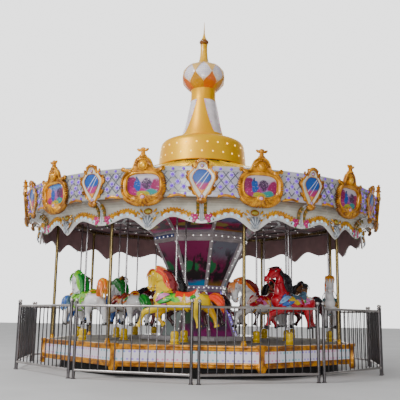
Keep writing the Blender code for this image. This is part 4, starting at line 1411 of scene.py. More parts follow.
def housingPieces():
    tiers = (
        ("centre_skirt", housing["skirt"], housing["foot"], housing["waist"], housing["waistZ"],
         housingPaint("skirt panel art", (0.34, 0.42, 0.40), (0.34, 0.006, 0.16), (0.10, 0.04, 0.10),
                      (0.07, 0.15, 0.08), (0.28, 0.02, 0.18), 22)),
        ("centre_cone", housing["waist"], housing["waistZ"] + clearance,
         housing["collar"], housing["collarZ"],
         housingPaint("cone panel art", (0.13, 0.13, 0.17), (0.20, 0.008, 0.075), (0.016, 0.010, 0.014),
                      (0.01, 0.16, 0.05), (0.005, 0.20, 0.42))),
        ("centre_collar", housing["collar"] + 0.03, housing["collarZ"] + 0.12 + clearance,
         housing["top"], housing["topZ"],
         housingPaint("collar panel art", (0.12, 0.14, 0.26), (0.36, 0.003, 0.07), (0.05, 0.03, 0.04),
                      (0.24, 0.18, 0.04), (0.30, 0.03, 0.16))),
    )
    white, ribs, rails = [], Heap(), Heap()
    sides, phase, wall = housing["sides"], housing["phase"], 0.05
    for (name, lowR, lowZ, highR, highZ, art), first in zip(tiers, housing["pictures"]):
        shell = Heap()
        profile = [(lowR - wall, lowZ), (lowR - 0.012, lowZ), (highR - 0.012, highZ), (highR - wall, highZ)]
        if name == "centre_collar":
            start = housing["collarZ"] + clearance
            profile = [(0.98, start), (1.06, start), (1.06, lowZ), (highR - 0.012, highZ),
                       (highR - wall, highZ), (0.98, lowZ)]
        shell.turned(profile, sides, (0.14, 0.10, 0.12), ring=True, phase=phase)
        fit(shell, name + "_shell", "ribGrey", 20, "magenta_panel", name)
        plates = []
        for k, azimuth in enumerate(around(sides, phase + 180 / sides)):
            frame8, low, high, height = facet(azimuth, lowR, lowZ, highR, highZ)
            inset, edge = 0.045, 0.06
            lowHalf = low + (high - low) * edge / height - inset
            highHalf = high + (low - high) * edge / height - inset
            outline = [(-lowHalf, 0.001, edge), (lowHalf, 0.001, edge), (highHalf, 0.001, height - edge),
                       (-highHalf, 0.001, height - edge)]
            plates.append((frame8, outline, max(low, high), height / 2 - edge, height / 2, k + first))
            for z in (edge * 0.5, height - edge * 0.5):
                share = z / height
                reach = low + (high - low) * share
                bar = [frame8 @ at(x, 0.002, z) for x in (-reach, reach)]
                rails.tube(bar, edge * 0.46, 6, (0.36, 0.32, 0.36), flat=1.0)
        settle(picturePlate(name + "_art", plates, art), "platform", "magenta_panel")
        for azimuth in around(sides, phase):
            low, high = polar(lowR, azimuth, lowZ), polar(highR, azimuth, highZ)
            ribs.tube([low, high], housing["rib"], 6)
            count = int((high - low).length / 0.150)
            for k in range(count):
                spot = low + (high - low) * (k + 0.5) / count
                out = polar(1, azimuth, 0.0)
                white.append((spot + out * housing["rib"] * 0.95, out))
    fit(ribs, "housing_ribs", "ribGrey", 30, "magenta_panel")
    fit(rails, "housing_rails", "enamel", 30, "white_enamel")
    studs("housing_rib_lamps", white, 0.0125, "whiteLamp")
    band = Heap()
    collar = ((0.97, 2.615), (1.045, 2.615), (1.056, 2.625), (1.060, 2.69), (1.078, 2.70), (1.078, 2.76),
              (1.070, 2.77), (0.99, 2.77))
    blue, grey = (0.12, 0.16, 0.42), (0.48, 0.42, 0.43)
    band.turned(collar, sides, lambda i, k: blue if i in (4, 5, 6) and k == 6 else grey, ring=True,
                phase=phase)
    waist = ((0.49, 1.605), (0.545, 1.605), (0.555, 1.62), (0.575, 1.655), (0.565, 1.70), (0.545, 1.72),
             (0.50, 1.72))
    band.turned(waist, sides, (0.42, 0.34, 0.50), ring=True, phase=phase)
    fit(band, "housing_bands", "enamel", 30, "magenta_panel")
    lamps = []
    for radius, z, count in ((1.080, 2.725, 5), (0.572, 1.66, 4)):
        for azimuth in around(sides, phase):
            a, b = polar(radius, azimuth, z), polar(radius, azimuth + 360 / sides, z)
            out = polar(1, azimuth + 180 / sides)
            for k in range(count):
                lamps.append((a + (b - a) * (k + 0.5) / count + out * 0.002, out))
    studs("housing_band_lamps", lamps, 0.014, "whiteLamp")
    glow = []
    for azimuth in around(sides, phase)[1::4]:
        low, high = polar(housing["skirt"], azimuth, 0.66), polar(housing["waist"], azimuth, 1.60)
        side = polar(1, azimuth + 90)
        for k in range(26):
            for wing in (-1, 1):
                spot = low + (high - low) * (k + 0.5) / 26 + side * wing * 0.030 + polar(0.014, azimuth)
                glow.append((spot, polar(1, azimuth, 0.3)))
    studs("skirt_edge_lamps", glow, 0.0105, "blueLamp", detail=1)
    step = Heap()
    low = platform["deck"] + clearance
    profile = ((0.8903, low), (1.28, low), (1.285, low + 0.02), (1.28, low + 0.075), (1.27, low + 0.09),
               (0.8903, low + 0.09))
    step.turned(profile, sides, (0.62, 0.58, 0.60), ring=True, phase=phase)
    fit(step, "centre_step_plate", "enamel", 30, "white_enamel", "centre_step")


housingPieces()
print("centre housing done")


# Ceiling

ceilingPlan = {"z": 3.12, "radius": 3.489, "ribs": 16, "phase": 1.5}


def ceilingPieces():
    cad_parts["ceiling"].data.materials[0] = paints["maroon"]
    ribs, lamps = Heap(), []
    under = ceilingPlan["z"] - 0.001
    section = ((-0.035, 0), (-0.028, 0.035), (0.028, 0.035), (0.035, 0))
    for azimuth in around(ceilingPlan["ribs"], ceilingPlan["phase"]):
        rings = []
        for radius in (1.38, 3.48):
            base = outward(radius, azimuth)
            rings.append([base @ at(x, 0, under - z) for x, z in section])
        ribs.loft(rings, (0.26, 0.22, 0.23))
        for k in range(6):
            lamps.append((polar(1.60 + 0.32 * k, azimuth, under - 0.036), at(0, 0, -1)))
    for radius in (1.75, 2.35, 2.98, 3.40):
        profile = ((radius - 0.03, under), (radius - 0.03, under - 0.028), (radius + 0.03, under - 0.028),
                   (radius + 0.03, under))
        ribs.turned(profile, 48, (0.10, 0.085, 0.085), ring=True)
    for azimuth in around(40):
        lamps.append((polar(2.35, azimuth, under - 0.028), at(0, 0, -1)))
    fit(ribs, "ceiling_ribs", "enamel", 30, "maroon_ceiling")
    studs("ceiling_lamps", lamps, 0.011, "whiteLamp", detail=1)


ceilingPieces()
print("ceiling done")


# Valance

valance = {"radius": 3.52, "inner": 3.49, "rib": 2.617, "drop": 2.50, "arch": 2.73, "top": 3.0197,
           "columns": 288, "edgeBand": 0.085}


def smoothStep(t):
    t = min(max(t, 0.0), 1.0)
    return t * t * (3 - 2 * t)


def scallop(azimuth):
    # the valance's lower edge: broad dips at 0, 30 ..., deep narrow ones at 15, 45 ...
    away = abs((azimuth + 15) % 30 - 15) / 15
    if away < 0.54:
        return valance["rib"] + (valance["arch"] - valance["rib"]) * smoothStep((away / 0.54) ** 1.25)
    return valance["drop"] + (valance["arch"] - valance["drop"]) * smoothStep(((1 - away) / 0.46) ** 0.78)


def valancePieces():
    skin = Heap()
    cove = ((3.52, 2.84), (3.524, 2.87), (3.545, 2.905), (3.585, 2.945), (3.64, 2.98), (3.70, 3.005),
            (3.75, 3.0197))
    rings = []
    for azimuth in around(valance["columns"]):
        low = scallop(azimuth)
        edge = low + valance["edgeBand"]
        profile = [(3.49, low), (3.505, low - 0.004), (3.52, low), (3.521, low + 0.04), (3.521, edge),
                   (3.514, edge + 0.004), (3.514, max(edge + 0.01, 2.829)), *cove, (3.72, 3.0197),
                   (3.60, 3.02), (3.49, 3.16)]
        rings.append([polar(r, azimuth, z) for r, z in profile])
    inside, white = (0.24, 0.14, 0.145), (0.80, 0.78, 0.76)
    cream, shaded = (0.64, 0.60, 0.49), (0.16, 0.125, 0.095)
    # the cove darkens towards its top under the crown's overhang: painted shade
    coveShade = [spread(cream, shaded, t) for t in (0.1, 0.35, 0.6, 0.8, 1.0)]
    zones = [inside] + [white] * 4 + [cream] * 3 + coveShade + [inside] * 4
    skin.loft(rings, lambda i, k: zones[k], loop=True)
    fit(skin, "valance_skin", "enamel", 40, "cream_board", "valance")
    lining, bead = Heap(), Heap()
    rings = []
    for azimuth in around(144):
        low = scallop(azimuth) + 0.006
        section = ((3.4895, low), (3.4895, 3.115), (3.482, 3.115), (3.482, low))
        rings.append([polar(r, azimuth, z) for r, z in section])
    lining.loft(rings, loop=True)
    fit(lining, "valance_lining", "mauve", 40, "maroon_ceiling")
    bead.tube([polar(3.508, a, scallop(a)) for a in around(360)], 0.0125, 8, (0.80, 0.78, 0.74), loop=True)
    fit(bead, "valance_bead", "enamel", 60, "white_enamel")
    lamps = []
    for middle in around(bays):
        for away in (2.8 + 1.9 * k for k in range(5)):
            for azimuth in (middle - away, middle + away):
                lamps.append((polar(3.522, azimuth, scallop(azimuth) + 0.050), polar(1, azimuth)))
    studs("valance_lamps", lamps, 0.025, "iceLamp")
    trim, silver, bloom, rib = Heap(), Heap(), Heap(), Heap()
    boardFace, trimFace = 3.517, 3.524
    for side in (-1, 1):
        path = [polar(boardFace, side * away, scallop(away) + 0.098)
                for away in (2.4 + 8.8 * (k / 26) for k in range(27))]
        trim.tube(path, lambda t: 0.010 + 0.006 * abs(sin(t * 16)), 7)
        for k in range(10):
            away = 2.8 + 0.92 * k
            out = outward(boardFace, side * away, scallop(away) + 0.104)
            curl = volute((0, 0.022 * (-1) ** k), 0.026, 0.006, -90 * (-1) ** k, 1.2, 8)
            trim.leaf(pushed(curl, 0.004), taper(0.014, 0.5), 0.014, matrix=out)
            for lean in (-0.9, 0.5):
                sprig = [at(lean * 0.018 * j, 0.004, 0.004 + 0.018 * j) for j in range(4)]
                trim.leaf(sprig, bud(0.018, 0.15, 0.8), 0.014, matrix=out)
    line = [(3.745, 3.005), (3.69, 2.995), (3.63, 2.968), (3.58, 2.935), (3.545, 2.90), (3.526, 2.86),
            (trimFace, 2.80), (trimFace, 2.72), (trimFace, scallop(0) + 0.02)]
    across = ((-0.042, -0.012), (-0.042, 0.008), (-0.022, 0.013), (-0.012, 0.004), (0.012, 0.004),
              (0.022, 0.013), (0.042, 0.008), (0.042, -0.012))
    groove, ridge = (0.42, 0.44, 0.46), (0.80, 0.76, 0.80)
    rib.loft([[at(x, -(r + y), z) for x, y in across] for r, z in line],
             lambda i, k: groove if k in (2, 3, 4) else ridge)
    petal, olive = ((0.48, 0.002, 0.12), (0.66, 0.012, 0.22)), ((0.22, 0.16, 0.01), (0.50, 0.24, 0.006))
    for side in (-1, 1):
        fall = through([(side * 0.062, -(r + 0.008), z) for r, z in line[2:8]], 12)
        trim.leaf(fall, lambda t: 0.022, 0.010, (0, -1, 0), (0.7, 0.6, 0.5))
        for k in range(0, 10, 2):
            for swing in (-1, 1):
                leaf = [fall[k] + at(swing * 0.022 * t, -0.010, -0.066 * t) for t in (0, 0.35, 0.7, 1.0)]
                bloom.leaf(leaf, bud(0.019, 0.12, 0.8), 0.012, (0, -1, 0), olive[(k // 2) % 2])
        for x, z, size in ((0.108, 2.705, 0.056), (0.152, 2.742, 0.036), (0.074, 2.748, 0.034),
                           (0.128, 2.655, 0.036)):
            spot = outward(trimFace, side * degrees(x / 3.52), z)
            for ring, count in ((1.0, 6), (0.52, 5)):
                for j, turn in enumerate(around(count, 20 * ring)):
                    a = radians(turn)
                    tip = at(size * 0.62 * ring * cos(a), 0.012 - 0.008 * ring, size * 0.62 * ring * sin(a))
                    bloom.ball(tip, (size * 0.46, 0.012, size * 0.46), petal[(j + count) % 2], 3, 7, spot)
            bloom.ball((0, 0.018, 0), size * 0.2, (0.95, 0.45, 0.35), 3, 6, spot)
        for x, z, lean in ((0.180, 2.700, 0.7), (0.052, 2.695, -0.5), (0.110, 2.630, 0.2)):
            spot = outward(trimFace, side * degrees(x / 3.52), z)
            bloom.leaf([at(-side * lean * 0.05 * t, 0.003, -0.04 * t) for t in (0, 0.5, 1)],
                       bud(0.015, 0.2, 0.7), 0.008, tint=(0.10, 0.26, 0.04), matrix=spot)
    shellOrnament(silver, trim, outward(trimFace, 15))
    for heap, part, paint, slot in ((trim, "scrolls", "brightGold", "gold_paint"),
                                    (silver, "shells", "enamel", "white_enamel"),
                                    (bloom, "flowers", "enamel", "magenta_panel"),
                                    (rib, "ribs", "enamel", "white_enamel")):
        fit(heap, "valance_" + part, paint, 45, slot, count=bays, share=0.78)


def shellOrnament(silver, trim, place):
    # a tall silver shell with an olive-gold oval over it and leaves either side, in each deep dip
    grey, pale = (0.20, 0.23, 0.28), (0.74, 0.78, 0.84)
    hinge = at(0, 0.010, 2.535)
    for k in range(-4, 5):
        turn = radians(90 + k * 10.5)
        reach = 0.212 - 0.008 * abs(k)
        tip = hinge + at(reach * cos(turn) * 0.80, 0.012, reach * sin(turn))
        middle = (hinge + tip) * 0.5 + at(0, 0.026, 0)
        silver.leaf(through([hinge, middle, tip], 7), lambda t: 0.006 + 0.017 * t, 0.016,
                    tint=grey if k % 2 else pale, matrix=place, sink=0.012)
    silver.ball((0, 0.034, 2.640), (0.036, 0.020, 0.046), pale, 8, 12, place)
    silver.tube(hoop(place, 0.030, 2.640, 0.052, 0.062, 20), 0.008, 7, grey, loop=True)
    for side in (-1, 1):
        curl = volute((side * 0.036, 2.562), 0.028, 0.008, -90, side * 1.3, 14)
        silver.leaf(pushed(curl, 0.018), taper(0.010, 0.5), 0.012, tint=pale, matrix=place)
        for k, (x, z, reach, rise) in enumerate(((0.078, 2.735, 0.062, 0.075), (0.100, 2.715, 0.055, 0.045),
                                                 (0.062, 2.625, 0.050, 0.050), (0.082, 2.665, 0.062, 0.055),
                                                 (0.120, 2.760, 0.070, 0.040),
                                                 (0.100, 2.800, 0.050, 0.060))):
            path = through([(side * x, 0.008, z), (side * (x + reach * 0.55), 0.028, z + rise * 0.35),
                            (side * (x + reach), 0.010, z + rise)], 7)
            heap, tint = (silver, (0.80, 0.80, 0.84)) if k < 2 else (trim, (1, 1, 1))
            heap.leaf(path, bud(0.019, 0.12, 0.80, 0.8), 0.014, tint=tint, matrix=place)
    silver.ball((0, 0.026, 2.812), (0.062, 0.028, 0.038), (0.40, 0.31, 0.03), 9, 16, place)
    trim.tube(hoop(place, 0.018, 2.812, 0.072, 0.047, 24), 0.009, 7, (0.55, 0.4, 0.3), loop=True)


valancePieces()
print("valance done")


# Crown board

crown = {"radius": 3.78, "foot": 3.02, "topRadius": 3.84, "top": 3.525, "lattice": 2.4, "strip": 0.0085,
         "cartouche": 15.0}
crownLean = atan2(crown["topRadius"] - crown["radius"], crown["top"] - crown["foot"])


def crownRadius(up):
    return crown["radius"] + (crown["topRadius"] - crown["radius"]) * up / (crown["top"] - crown["foot"])


def onCrown(azimuth, up, out=0.0):
    return polar(crownRadius(up) + out, azimuth, crown["foot"] + up)


def superOval(wide, high, middle, power, count=56):
    made = []
    for k in range(count):
        turn = 2 * pi * k / count
        c, s = cos(turn), sin(turn)
        made.append(at(wide * copysign(abs(c) ** power, c), 0,
                       middle + high * copysign(abs(s) ** power, s)))
    return made


def ringPlate(heap, inner, outer, levels, matrix, tint=(1, 1, 1)):
    # a moulded frame between two outlines; levels are (share of the way out, height)
    rings = []
    for share, high in levels:
        rings.append([matrix @ (a + (b - a) * share + at(0, high, 0)) for a, b in zip(inner, outer)])
    heap.loft([list(column) for column in zip(*rings)], tint, loop=True)


def solidPlate(heap, outline, levels, matrix, tint=(1, 1, 1), middle=(0, 0, 0)):
    # a plate whose outline shrinks towards middle as it rises; levels are (share, height)
    middle = Vector(middle)
    heap.loft([[matrix @ (middle + (p - middle) * share + at(0, high, 0)) for p in outline]
               for share, high in levels], tint)


def boardPieces():
    board = Heap()
    levels = ((0, -0.05, 0.0), (0, 0.004, 0.0), (0, 0.015, 0.008), (0.075, 0.015, 0.072),
              (0.08, 0.002, 0.084), (0.42, 0.002, 0.418), (0.43, 0.015, 0.430), (0.49, 0.015, 0.492),
              (0.505, 0.004, 0.505), (0.505, -0.05, 0.505))
    profile = [(crownRadius(up) + out, crown["foot"] + z) for up, out, z in levels]
    band, field = (0.60, 0.57, 0.65), (0.46, 0.45, 0.42)
    # tints by sector from the front: three short patches, then the field's tint the rest of the way
    patches = [band] * 3 + [field] * 3 + [band] * 3 + [field]
    board.turned(profile, 96, lambda i, k: patches[min(k, 9)], ring=True)
    fit(board, "crown_skin", "enamel", 40, "white_enamel", "crown_board")
    strips = Heap()
    for k in range(13):
        for slope in (-1, 1):
            start = k * crown["lattice"]
            path = [(start + slope * 4.3 * t, 0.084 + 0.336 * t) for t in (0, 0.25, 0.5, 0.75, 1)]
            rings = []
            for azimuth, up in path:
                wide = crown["strip"] / 3.8 * 57.3 * 1.4
                rings.append([onCrown(azimuth - wide, up, 0.001), onCrown(azimuth - wide, up, 0.007),
                              onCrown(azimuth + wide, up, 0.007), onCrown(azimuth + wide, up, 0.001)])
            strips.loft(rings, (0.15, 0.15, 0.20))
    fit(strips, "crown_lattice", "enamel", 30, "white_enamel", count=bays)
    violet, petals = [], []
    for middle in around(bays):
        for side in (-1, 1):
            for away in (4.6, 7.3):
                azimuth = middle + side * away
                violet.append((onCrown(azimuth, 0.461, 0.014), polar(1, azimuth)))
                violet.append((onCrown(azimuth + 0.4, 0.046, 0.018), polar(1, azimuth)))
            for away, up in ((4.9, 0.345), (7.4, 0.365), (6.1, 0.245), (4.6, 0.16), (7.6, 0.175)):
                azimuth = middle + side * away
                petals.append((onCrown(azimuth, up, 0.012), polar(1, azimuth)))
                violet.append((onCrown(azimuth, up, 0.018), polar(1, azimuth)))
            violet.append((onCrown(middle + side * 2.3, 0.461, 0.014), polar(1, middle)))
    studs("crown_violet_lamps", violet, 0.025, "violetLamp")
    cloud = pointCloud("crown_petal_lamps", petals)
    flows["petals"].use(cloud, Radius=0.032, Petals=6, Finish=paints["lilacPetal"])
    settle(cloud, "platform", "white_enamel")


def crownPictures(kind, outline, sizes, start, paint, rim):
    # twelve painted plates; sizes are their half width, half height and centre height
    plates = [(outward(crown["radius"], azimuth, crown["foot"], crownLean), outline, *sizes, k)
              for k, azimuth in enumerate(around(bays, start))]
    settle(picturePlate(kind + "_pictures", plates, paint, rim), "platform", "magenta_panel")


# half width, half height and centre height of a cartouche's picture
cartoucheOval = (0.292, 0.185, 0.205)


def cartouchePiece():
    gold, bright, gems = Heap(), Heap(), Heap()
    place = outward(crown["radius"], crown["cartouche"], crown["foot"], crownLean)
    picture = superOval(*cartoucheOval, 0.62)
    lipOut = superOval(0.318, 0.212, 0.205, 0.66)
    outer = superOval(0.372, 0.285, 0.180, 0.82)
    rope = superOval(0.384, 0.297, 0.178, 0.84, 64)
    ringPlate(gold, picture, outer, ((0, 0.006), (0, 0.030), (0.16, 0.046), (0.34, 0.036), (0.55, 0.050),
                                     (0.78, 0.052), (1.0, 0.030), (1.0, -0.02), (0, -0.02)), place)
    bright.tube([place @ p for p in pushed(lipOut, 0.040)], 0.012, 8, loop=True)
    bright.tube([place @ p for p in pushed(superOval(0.296, 0.189, 0.205, 0.62), 0.024)], 0.007, 6, loop=True)
    for k, p in enumerate(rope):
        ahead = rope[(k + 1) % len(rope)]
        along = (ahead - p).normalized()
        out = at(along.z, 0, -along.x)
        if (p - at(0, 0, 0.18)).dot(out) < 0:
            out = -out
        if p.z > 0.40 and abs(p.x) < 0.25:
            continue
        low = p.z < 0.02
        size = 0.056 if low else 0.036
        start = p - out * 0.030
        tip = p + out * size * (0.62 if low else 0.80) + at(0, 0, -0.012 if low else 0.012)
        middle = (start + tip) * 0.5 + at(0, 0.030, 0)
        path = through([start + at(0, 0.038, 0), middle + at(0, 0.028, 0), tip + at(0, 0.026, 0)], 4)
        gold.leaf(path, bud(size * 0.52, 0.12, 0.80, 0.8), 0.016, matrix=place, sink=0.03)
    for k in range(-6, 7):
        turn = radians(-90 + k * 13.5)
        hinge = at(0.008 * k, 0.040, -0.005)
        tip = at(0.2744 * cos(turn), 0.030, -0.002 + 0.158 * sin(turn))
        path = through([hinge, (hinge + tip) * 0.5 + at(0, 0.034, 0), tip], 5)
        (bright if k % 2 else gold).leaf(path, bud(0.027, 0.10, 0.82, 0.75), 0.018, matrix=place, sink=0.03)
    bright.tube(hoop(place, 0.064, -0.002, 0.060, 0.046, 20), 0.012, 8, loop=True)
    gold.ball((0, 0.048, -0.002), (0.060, 0.026, 0.046), rows=8, sides=16, matrix=place)
    gems.ball((0, 0.074, -0.002), (0.036, 0.020, 0.030), (0.80, 0.42, 0.68), 8, 14, place)
    hoodHalf = ((0.0, 0.730), (0.030, 0.724), (0.044, 0.702), (0.082, 0.676), (0.124, 0.642), (0.154, 0.588),
                (0.174, 0.530), (0.198, 0.480), (0.246, 0.448), (0.252, 0.405))
    hood = through([(x, 0, z) for x, z in hoodHalf], 22)
    outline = [at(p.x, 0, p.z) for p in hood] + [at(-p.x, 0, p.z) for p in hood[:0:-1]]
    solidPlate(gold, outline, ((1.0, -0.02), (1.0, 0.030), (0.94, 0.046), (0.86, 0.034), (0.5, 0.030)),
               place, middle=(0, 0, 0.50))
    core = at(0, 0, 0.5)
    bright.tube([place @ (core + (p - core) * 0.97 + at(0, 0.040, 0)) for p in outline[1:]], 0.011, 7)
    for k in range(-4, 5):
        turn = radians(90 + k * 21)
        near = at(0.066 * cos(turn), 0.036, 0.540 + 0.066 * sin(turn))
        far = at(0.150 * cos(turn), 0.036, 0.540 + 0.128 * sin(turn))
        gold.leaf([near, (near + far) * 0.5 + at(0, 0.020, 0), far], lambda t: 0.012 + 0.016 * t, 0.012,
                  matrix=place)
    bright.ball((0, 0.048, 0.540), (0.062, 0.036, 0.062), rows=10, sides=18, matrix=place)
    bright.tube(hoop(place, 0.044, 0.540, 0.074, 0.074, 20), 0.010, 7, loop=True)
    for side in (-1, 1):
        for centre, size, turns in (((side * 0.352, 0.482), 0.040, 1.3), ((side * 0.215, 0.452), 0.028, 1.2)):
            curl = volute(centre, size, 0.008, -90, side * turns, 13)
            bright.leaf(pushed(curl, 0.030), taper(0.014, 0.5), 0.016, matrix=place)
        wing = through([(side * 0.19, 0.030, 0.440), (side * 0.25, 0.050, 0.440), (side * 0.31, 0.045, 0.455),
                        (side * 0.372, 0.030, 0.505)], 10)
        gold.leaf(wing, bud(0.036, 0.15, 0.80, 0.8), 0.018, matrix=place, sink=0.03)
    stem = ((0.070, 0.690), (0.060, 0.712), (0.036, 0.728), (0.044, 0.745), (0.034, 0.760), (0.050, 0.785),
            (0.040, 0.80))
    gold.turned(stem, 12, matrix=place @ Matrix.Translation((0, 0.010, 0)))
    for x, z, wide, high in ((-0.056, 0.796, 0.042, 0.026), (0.056, 0.796, 0.042, 0.026),
                             (0, 0.816, 0.048, 0.030), (-0.088, 0.810, 0.020, 0.020),
                             (0.088, 0.810, 0.020, 0.020)):
        gold.ball((x, 0.012, z), (wide, 0.024, high), rows=7, sides=12, matrix=place)
    for side in (-1, 1):
        base = ((6.3, -0.012), (7.4, 0.008), (8.8, 0.024), (10.0, 0.014), (11.0, -0.008))
        line = through([onCrown(15 + side * away, up, 0.018) for away, up in base], 22)
        gold.tube(line, lambda t: 0.012 + 0.012 * sin(pi * t), 8)
        for away, size in ((6.9, 0.026), (10.6, 0.022)):
            spot = outward(crownRadius(0) + 0.014, 15 + side * away, crown["foot"] + 0.006, crownLean)
            curl = volute((0, 0.004), size, 0.007, 90, side * 1.2, 9)
            gold.leaf(pushed(curl, 0.010), taper(0.010, 0.4), 0.012, matrix=spot)
    fit(gold, "cartouche_carving", "gold", 50, "gold_paint", count=bays, share=0.72)
    fit(bright, "cartouche_beads", "brightGold", 50, "gold_paint", count=bays, share=0.72)
    fit(gems, "cartouche_gems", "enamel", 60, "magenta_panel", count=bays)
    crownPictures("cartouche", pushed(picture, 0.010), cartoucheOval, crown["cartouche"], gardenPaint(),
                  0.016)


def diamondPiece():
    ivory, gold, gems = Heap(), Heap(), Heap()
    place = outward(crown["radius"], 0, crown["foot"], crownLean)

    def full(half, count=30):
        line = through([(x, 0, z) for x, z in half], count)
        return [at(max(p.x, 0), 0, p.z) for p in line] + [at(-p.x, 0, p.z) for p in line[-2:0:-1]]

    outer = full(((0, -0.06), (0.050, -0.03), (0.100, 0.04), (0.160, 0.14), (0.228, 0.33), (0.165, 0.44),
                  (0.105, 0.52), (0.080, 0.58), (0, 0.61)))
    picture = full(((0, 0.035), (0.050, 0.105), (0.108, 0.195), (0.162, 0.315), (0.125, 0.395),
                    (0.070, 0.448), (0, 0.458)))
    solidPlate(ivory, outer, ((0.97, -0.02), (0.97, 0.026), (0.90, 0.040), (0.60, 0.030)), place,
               (0.74, 0.70, 0.58), (0, 0, 0.27))
    gold.tube([place @ p for p in pushed(outer, 0.026)], 0.017, 8, loop=True)
    gold.tube([place @ p for p in pushed(picture, 0.042)], 0.006, 6, loop=True)
    for side in (-1, 1):
        for centre, size, start, turns in (((side * 0.232, 0.395), 0.032, -90, 1.2),
                                           ((side * 0.190, 0.130), 0.034, 90, -1.2),
                                           ((side * 0.095, 0.575), 0.026, -90, 1.1)):
            curl = volute(centre, size, 0.007, start, side * turns, 12)
            gold.leaf(pushed(curl, 0.030), taper(0.012, 0.5), 0.014, matrix=place)
        for points in (((0.215, 0.26), (0.250, 0.30), (0.262, 0.36)),
                       ((0.150, 0.10), (0.200, 0.12), (0.235, 0.17)),
                       ((0.10, 0.03), (0.14, 0.045), (0.165, 0.09)),
                       ((0.135, 0.47), (0.160, 0.50), (0.165, 0.545))):
            path = through([(side * x, 0.022, z) for x, z in points], 6)
            gold.leaf(path, bud(0.020, 0.15, 0.78, 0.8), 0.014, matrix=place, sink=0.02)
    crest = [(-0.112, 0.035, 0.455), (-0.092, 0.040, 0.525), (-0.066, 0.044, 0.578), (0, 0.046, 0.604),
             (0.066, 0.044, 0.578), (0.092, 0.040, 0.525), (0.112, 0.035, 0.455)]
    gold.tube([place @ p for p in through(crest, 22)], lambda t: 0.012 + 0.018 * sin(pi * t), 8)
    for k in range(-3, 4):
        turn = radians(-90 + 24 * k)
        path = [at(0.012 * k, 0.030, -0.025), at(0.060 * cos(turn), 0.050, -0.045 + 0.045 * sin(turn)),
                at(0.095 * cos(turn), 0.026, -0.045 + 0.085 * sin(turn))]
        gold.leaf(through(path, 6), bud(0.024, 0.15, 0.78, 0.8), 0.016, matrix=place, sink=0.02)
    for z, size in ((0.510, 0.024), (0.000, 0.024)):
        gems.ball((0, 0.040, z), (size, size * 0.7, size), (0.52, 0.36, 0.82), 8, 12, place)
        gold.tube(hoop(place, 0.040, z, size * 1.25, size * 1.25, 15), 0.006, 6, loop=True)
    fit(ivory, "diamond_plates", "enamel", 40, "cream_board", count=bays)
    fit(gold, "diamond_carving", "gold", 50, "gold_paint", count=bays, share=0.78)
    fit(gems, "diamond_gems", "enamel", 60, "magenta_panel", count=bays)
    crownPictures("diamond", pushed(picture, 0.036), (0.162, 0.212, 0.247), 0, gemPicturePaint(), 0.010)


boardPieces()
cartouchePiece()
diamondPiece()
print("crown done")


# Roof and turret

roofPlan = {"edge": 3.47, "topRadius": 0.98, "top": 4.36}
turret = {"drumFoot": 0.80, "drumLow": 4.385, "lampRows": ((4.777, 0.968, 6.3), (4.564, 0.986, -0.6)),
          "lamps": 26, "towerFoot": 0.455, "towerLow": 5.17, "towerHead": 0.30, "towerHigh": 5.99,
          "neckHigh": 6.27, "panels": 3, "turn": -12.0, "foot": 45.0, "head": 15.0, "kiteFoot": 0.16,
          "kiteSide": 0.40, "kiteTop": 0.76}


def roofPiece():
    edge = crownRadius(0.41) - 0.0503
    low, top = roofPlan["edge"], roofPlan["top"]
    profile = ((edge, low - 0.04), (edge, low), (2.9, 3.69), (1.9, 4.045), (0.98, top), (0.65, top),
               (0.65, top - 0.04))
    heap = Heap()
    heap.turned(profile, 96, (1.0, 0.66, 0.0), ring=True)
    for azimuth in around(24, 7.5):
        seam = [polar(r, azimuth, z + 0.004)
                for r, z in ((edge - 0.02, low + 0.003), (2.9, 3.69), (1.9, 4.045), (1.0, top - 0.01))]
        heap.tube(seam, 0.010, 6, (0.94, 0.56, 0.006))
    fit(heap, "roof_skin", "enamel", 40, "yellow_roof", "roof")


def turretPaint():
    # polished gold-yellow sheet, a little uneven where it was rolled
    paint = Paint("gold yellow sheet", metallic=0.45)
    broad = paint.noise(1.6, 4)
    fine = paint.noise(30, 3)
    colour = paint.mix(broad.between(0.3, 0.7), (1.0, 0.47, 0.0), (1.0, 0.57, 0.0))
    paint.set(baseColor=colour, roughness=fine * 0.10 + 0.36)
    return paint.made


def drumPieces(sheet):
    heap = Heap()
    low = turret["drumLow"]
    profile = [(turret["drumFoot"], roofPlan["top"] + clearance), (turret["drumFoot"], low), (0.985, low),
               (1.006, low + 0.012), (1.004, low + 0.03), (0.978, 4.70), (0.957, 4.86), (0.938, 4.912),
               (0.905, 4.952), (0.85, 4.983), (0.76, 5.010), (0.65, 5.035), (0.56, 5.065), (0.50, 5.105),
               (0.478, 5.1697)]
    heap.turned(profile, 72)
    fit(heap, "drum_sheet", sheet, 35, "yellow_roof", "turret_drum")
    # a black ring in the gap between the roof and the drum: a painted shadow
    shadowSlit = Heap()
    shadowSlit.turned(((0.81, 4.362), (0.965, 4.362), (0.965, 4.384), (0.81, 4.384)), 72, ring=True)
    fit(shadowSlit, "drum_shadow_slit", "black", 35, "yellow_roof")
    lamps = [(polar(radius, azimuth, z), polar(1, azimuth, 0.1)) for z, radius, start in turret["lampRows"]
             for azimuth in around(turret["lamps"], start)]
    studs("drum_lamps", lamps, 0.021, "warmLamp")


def towerRadius(t):
    return turret["towerFoot"] + (turret["towerHead"] - turret["towerFoot"]) * t + 0.025 * (1 - t) ** 6


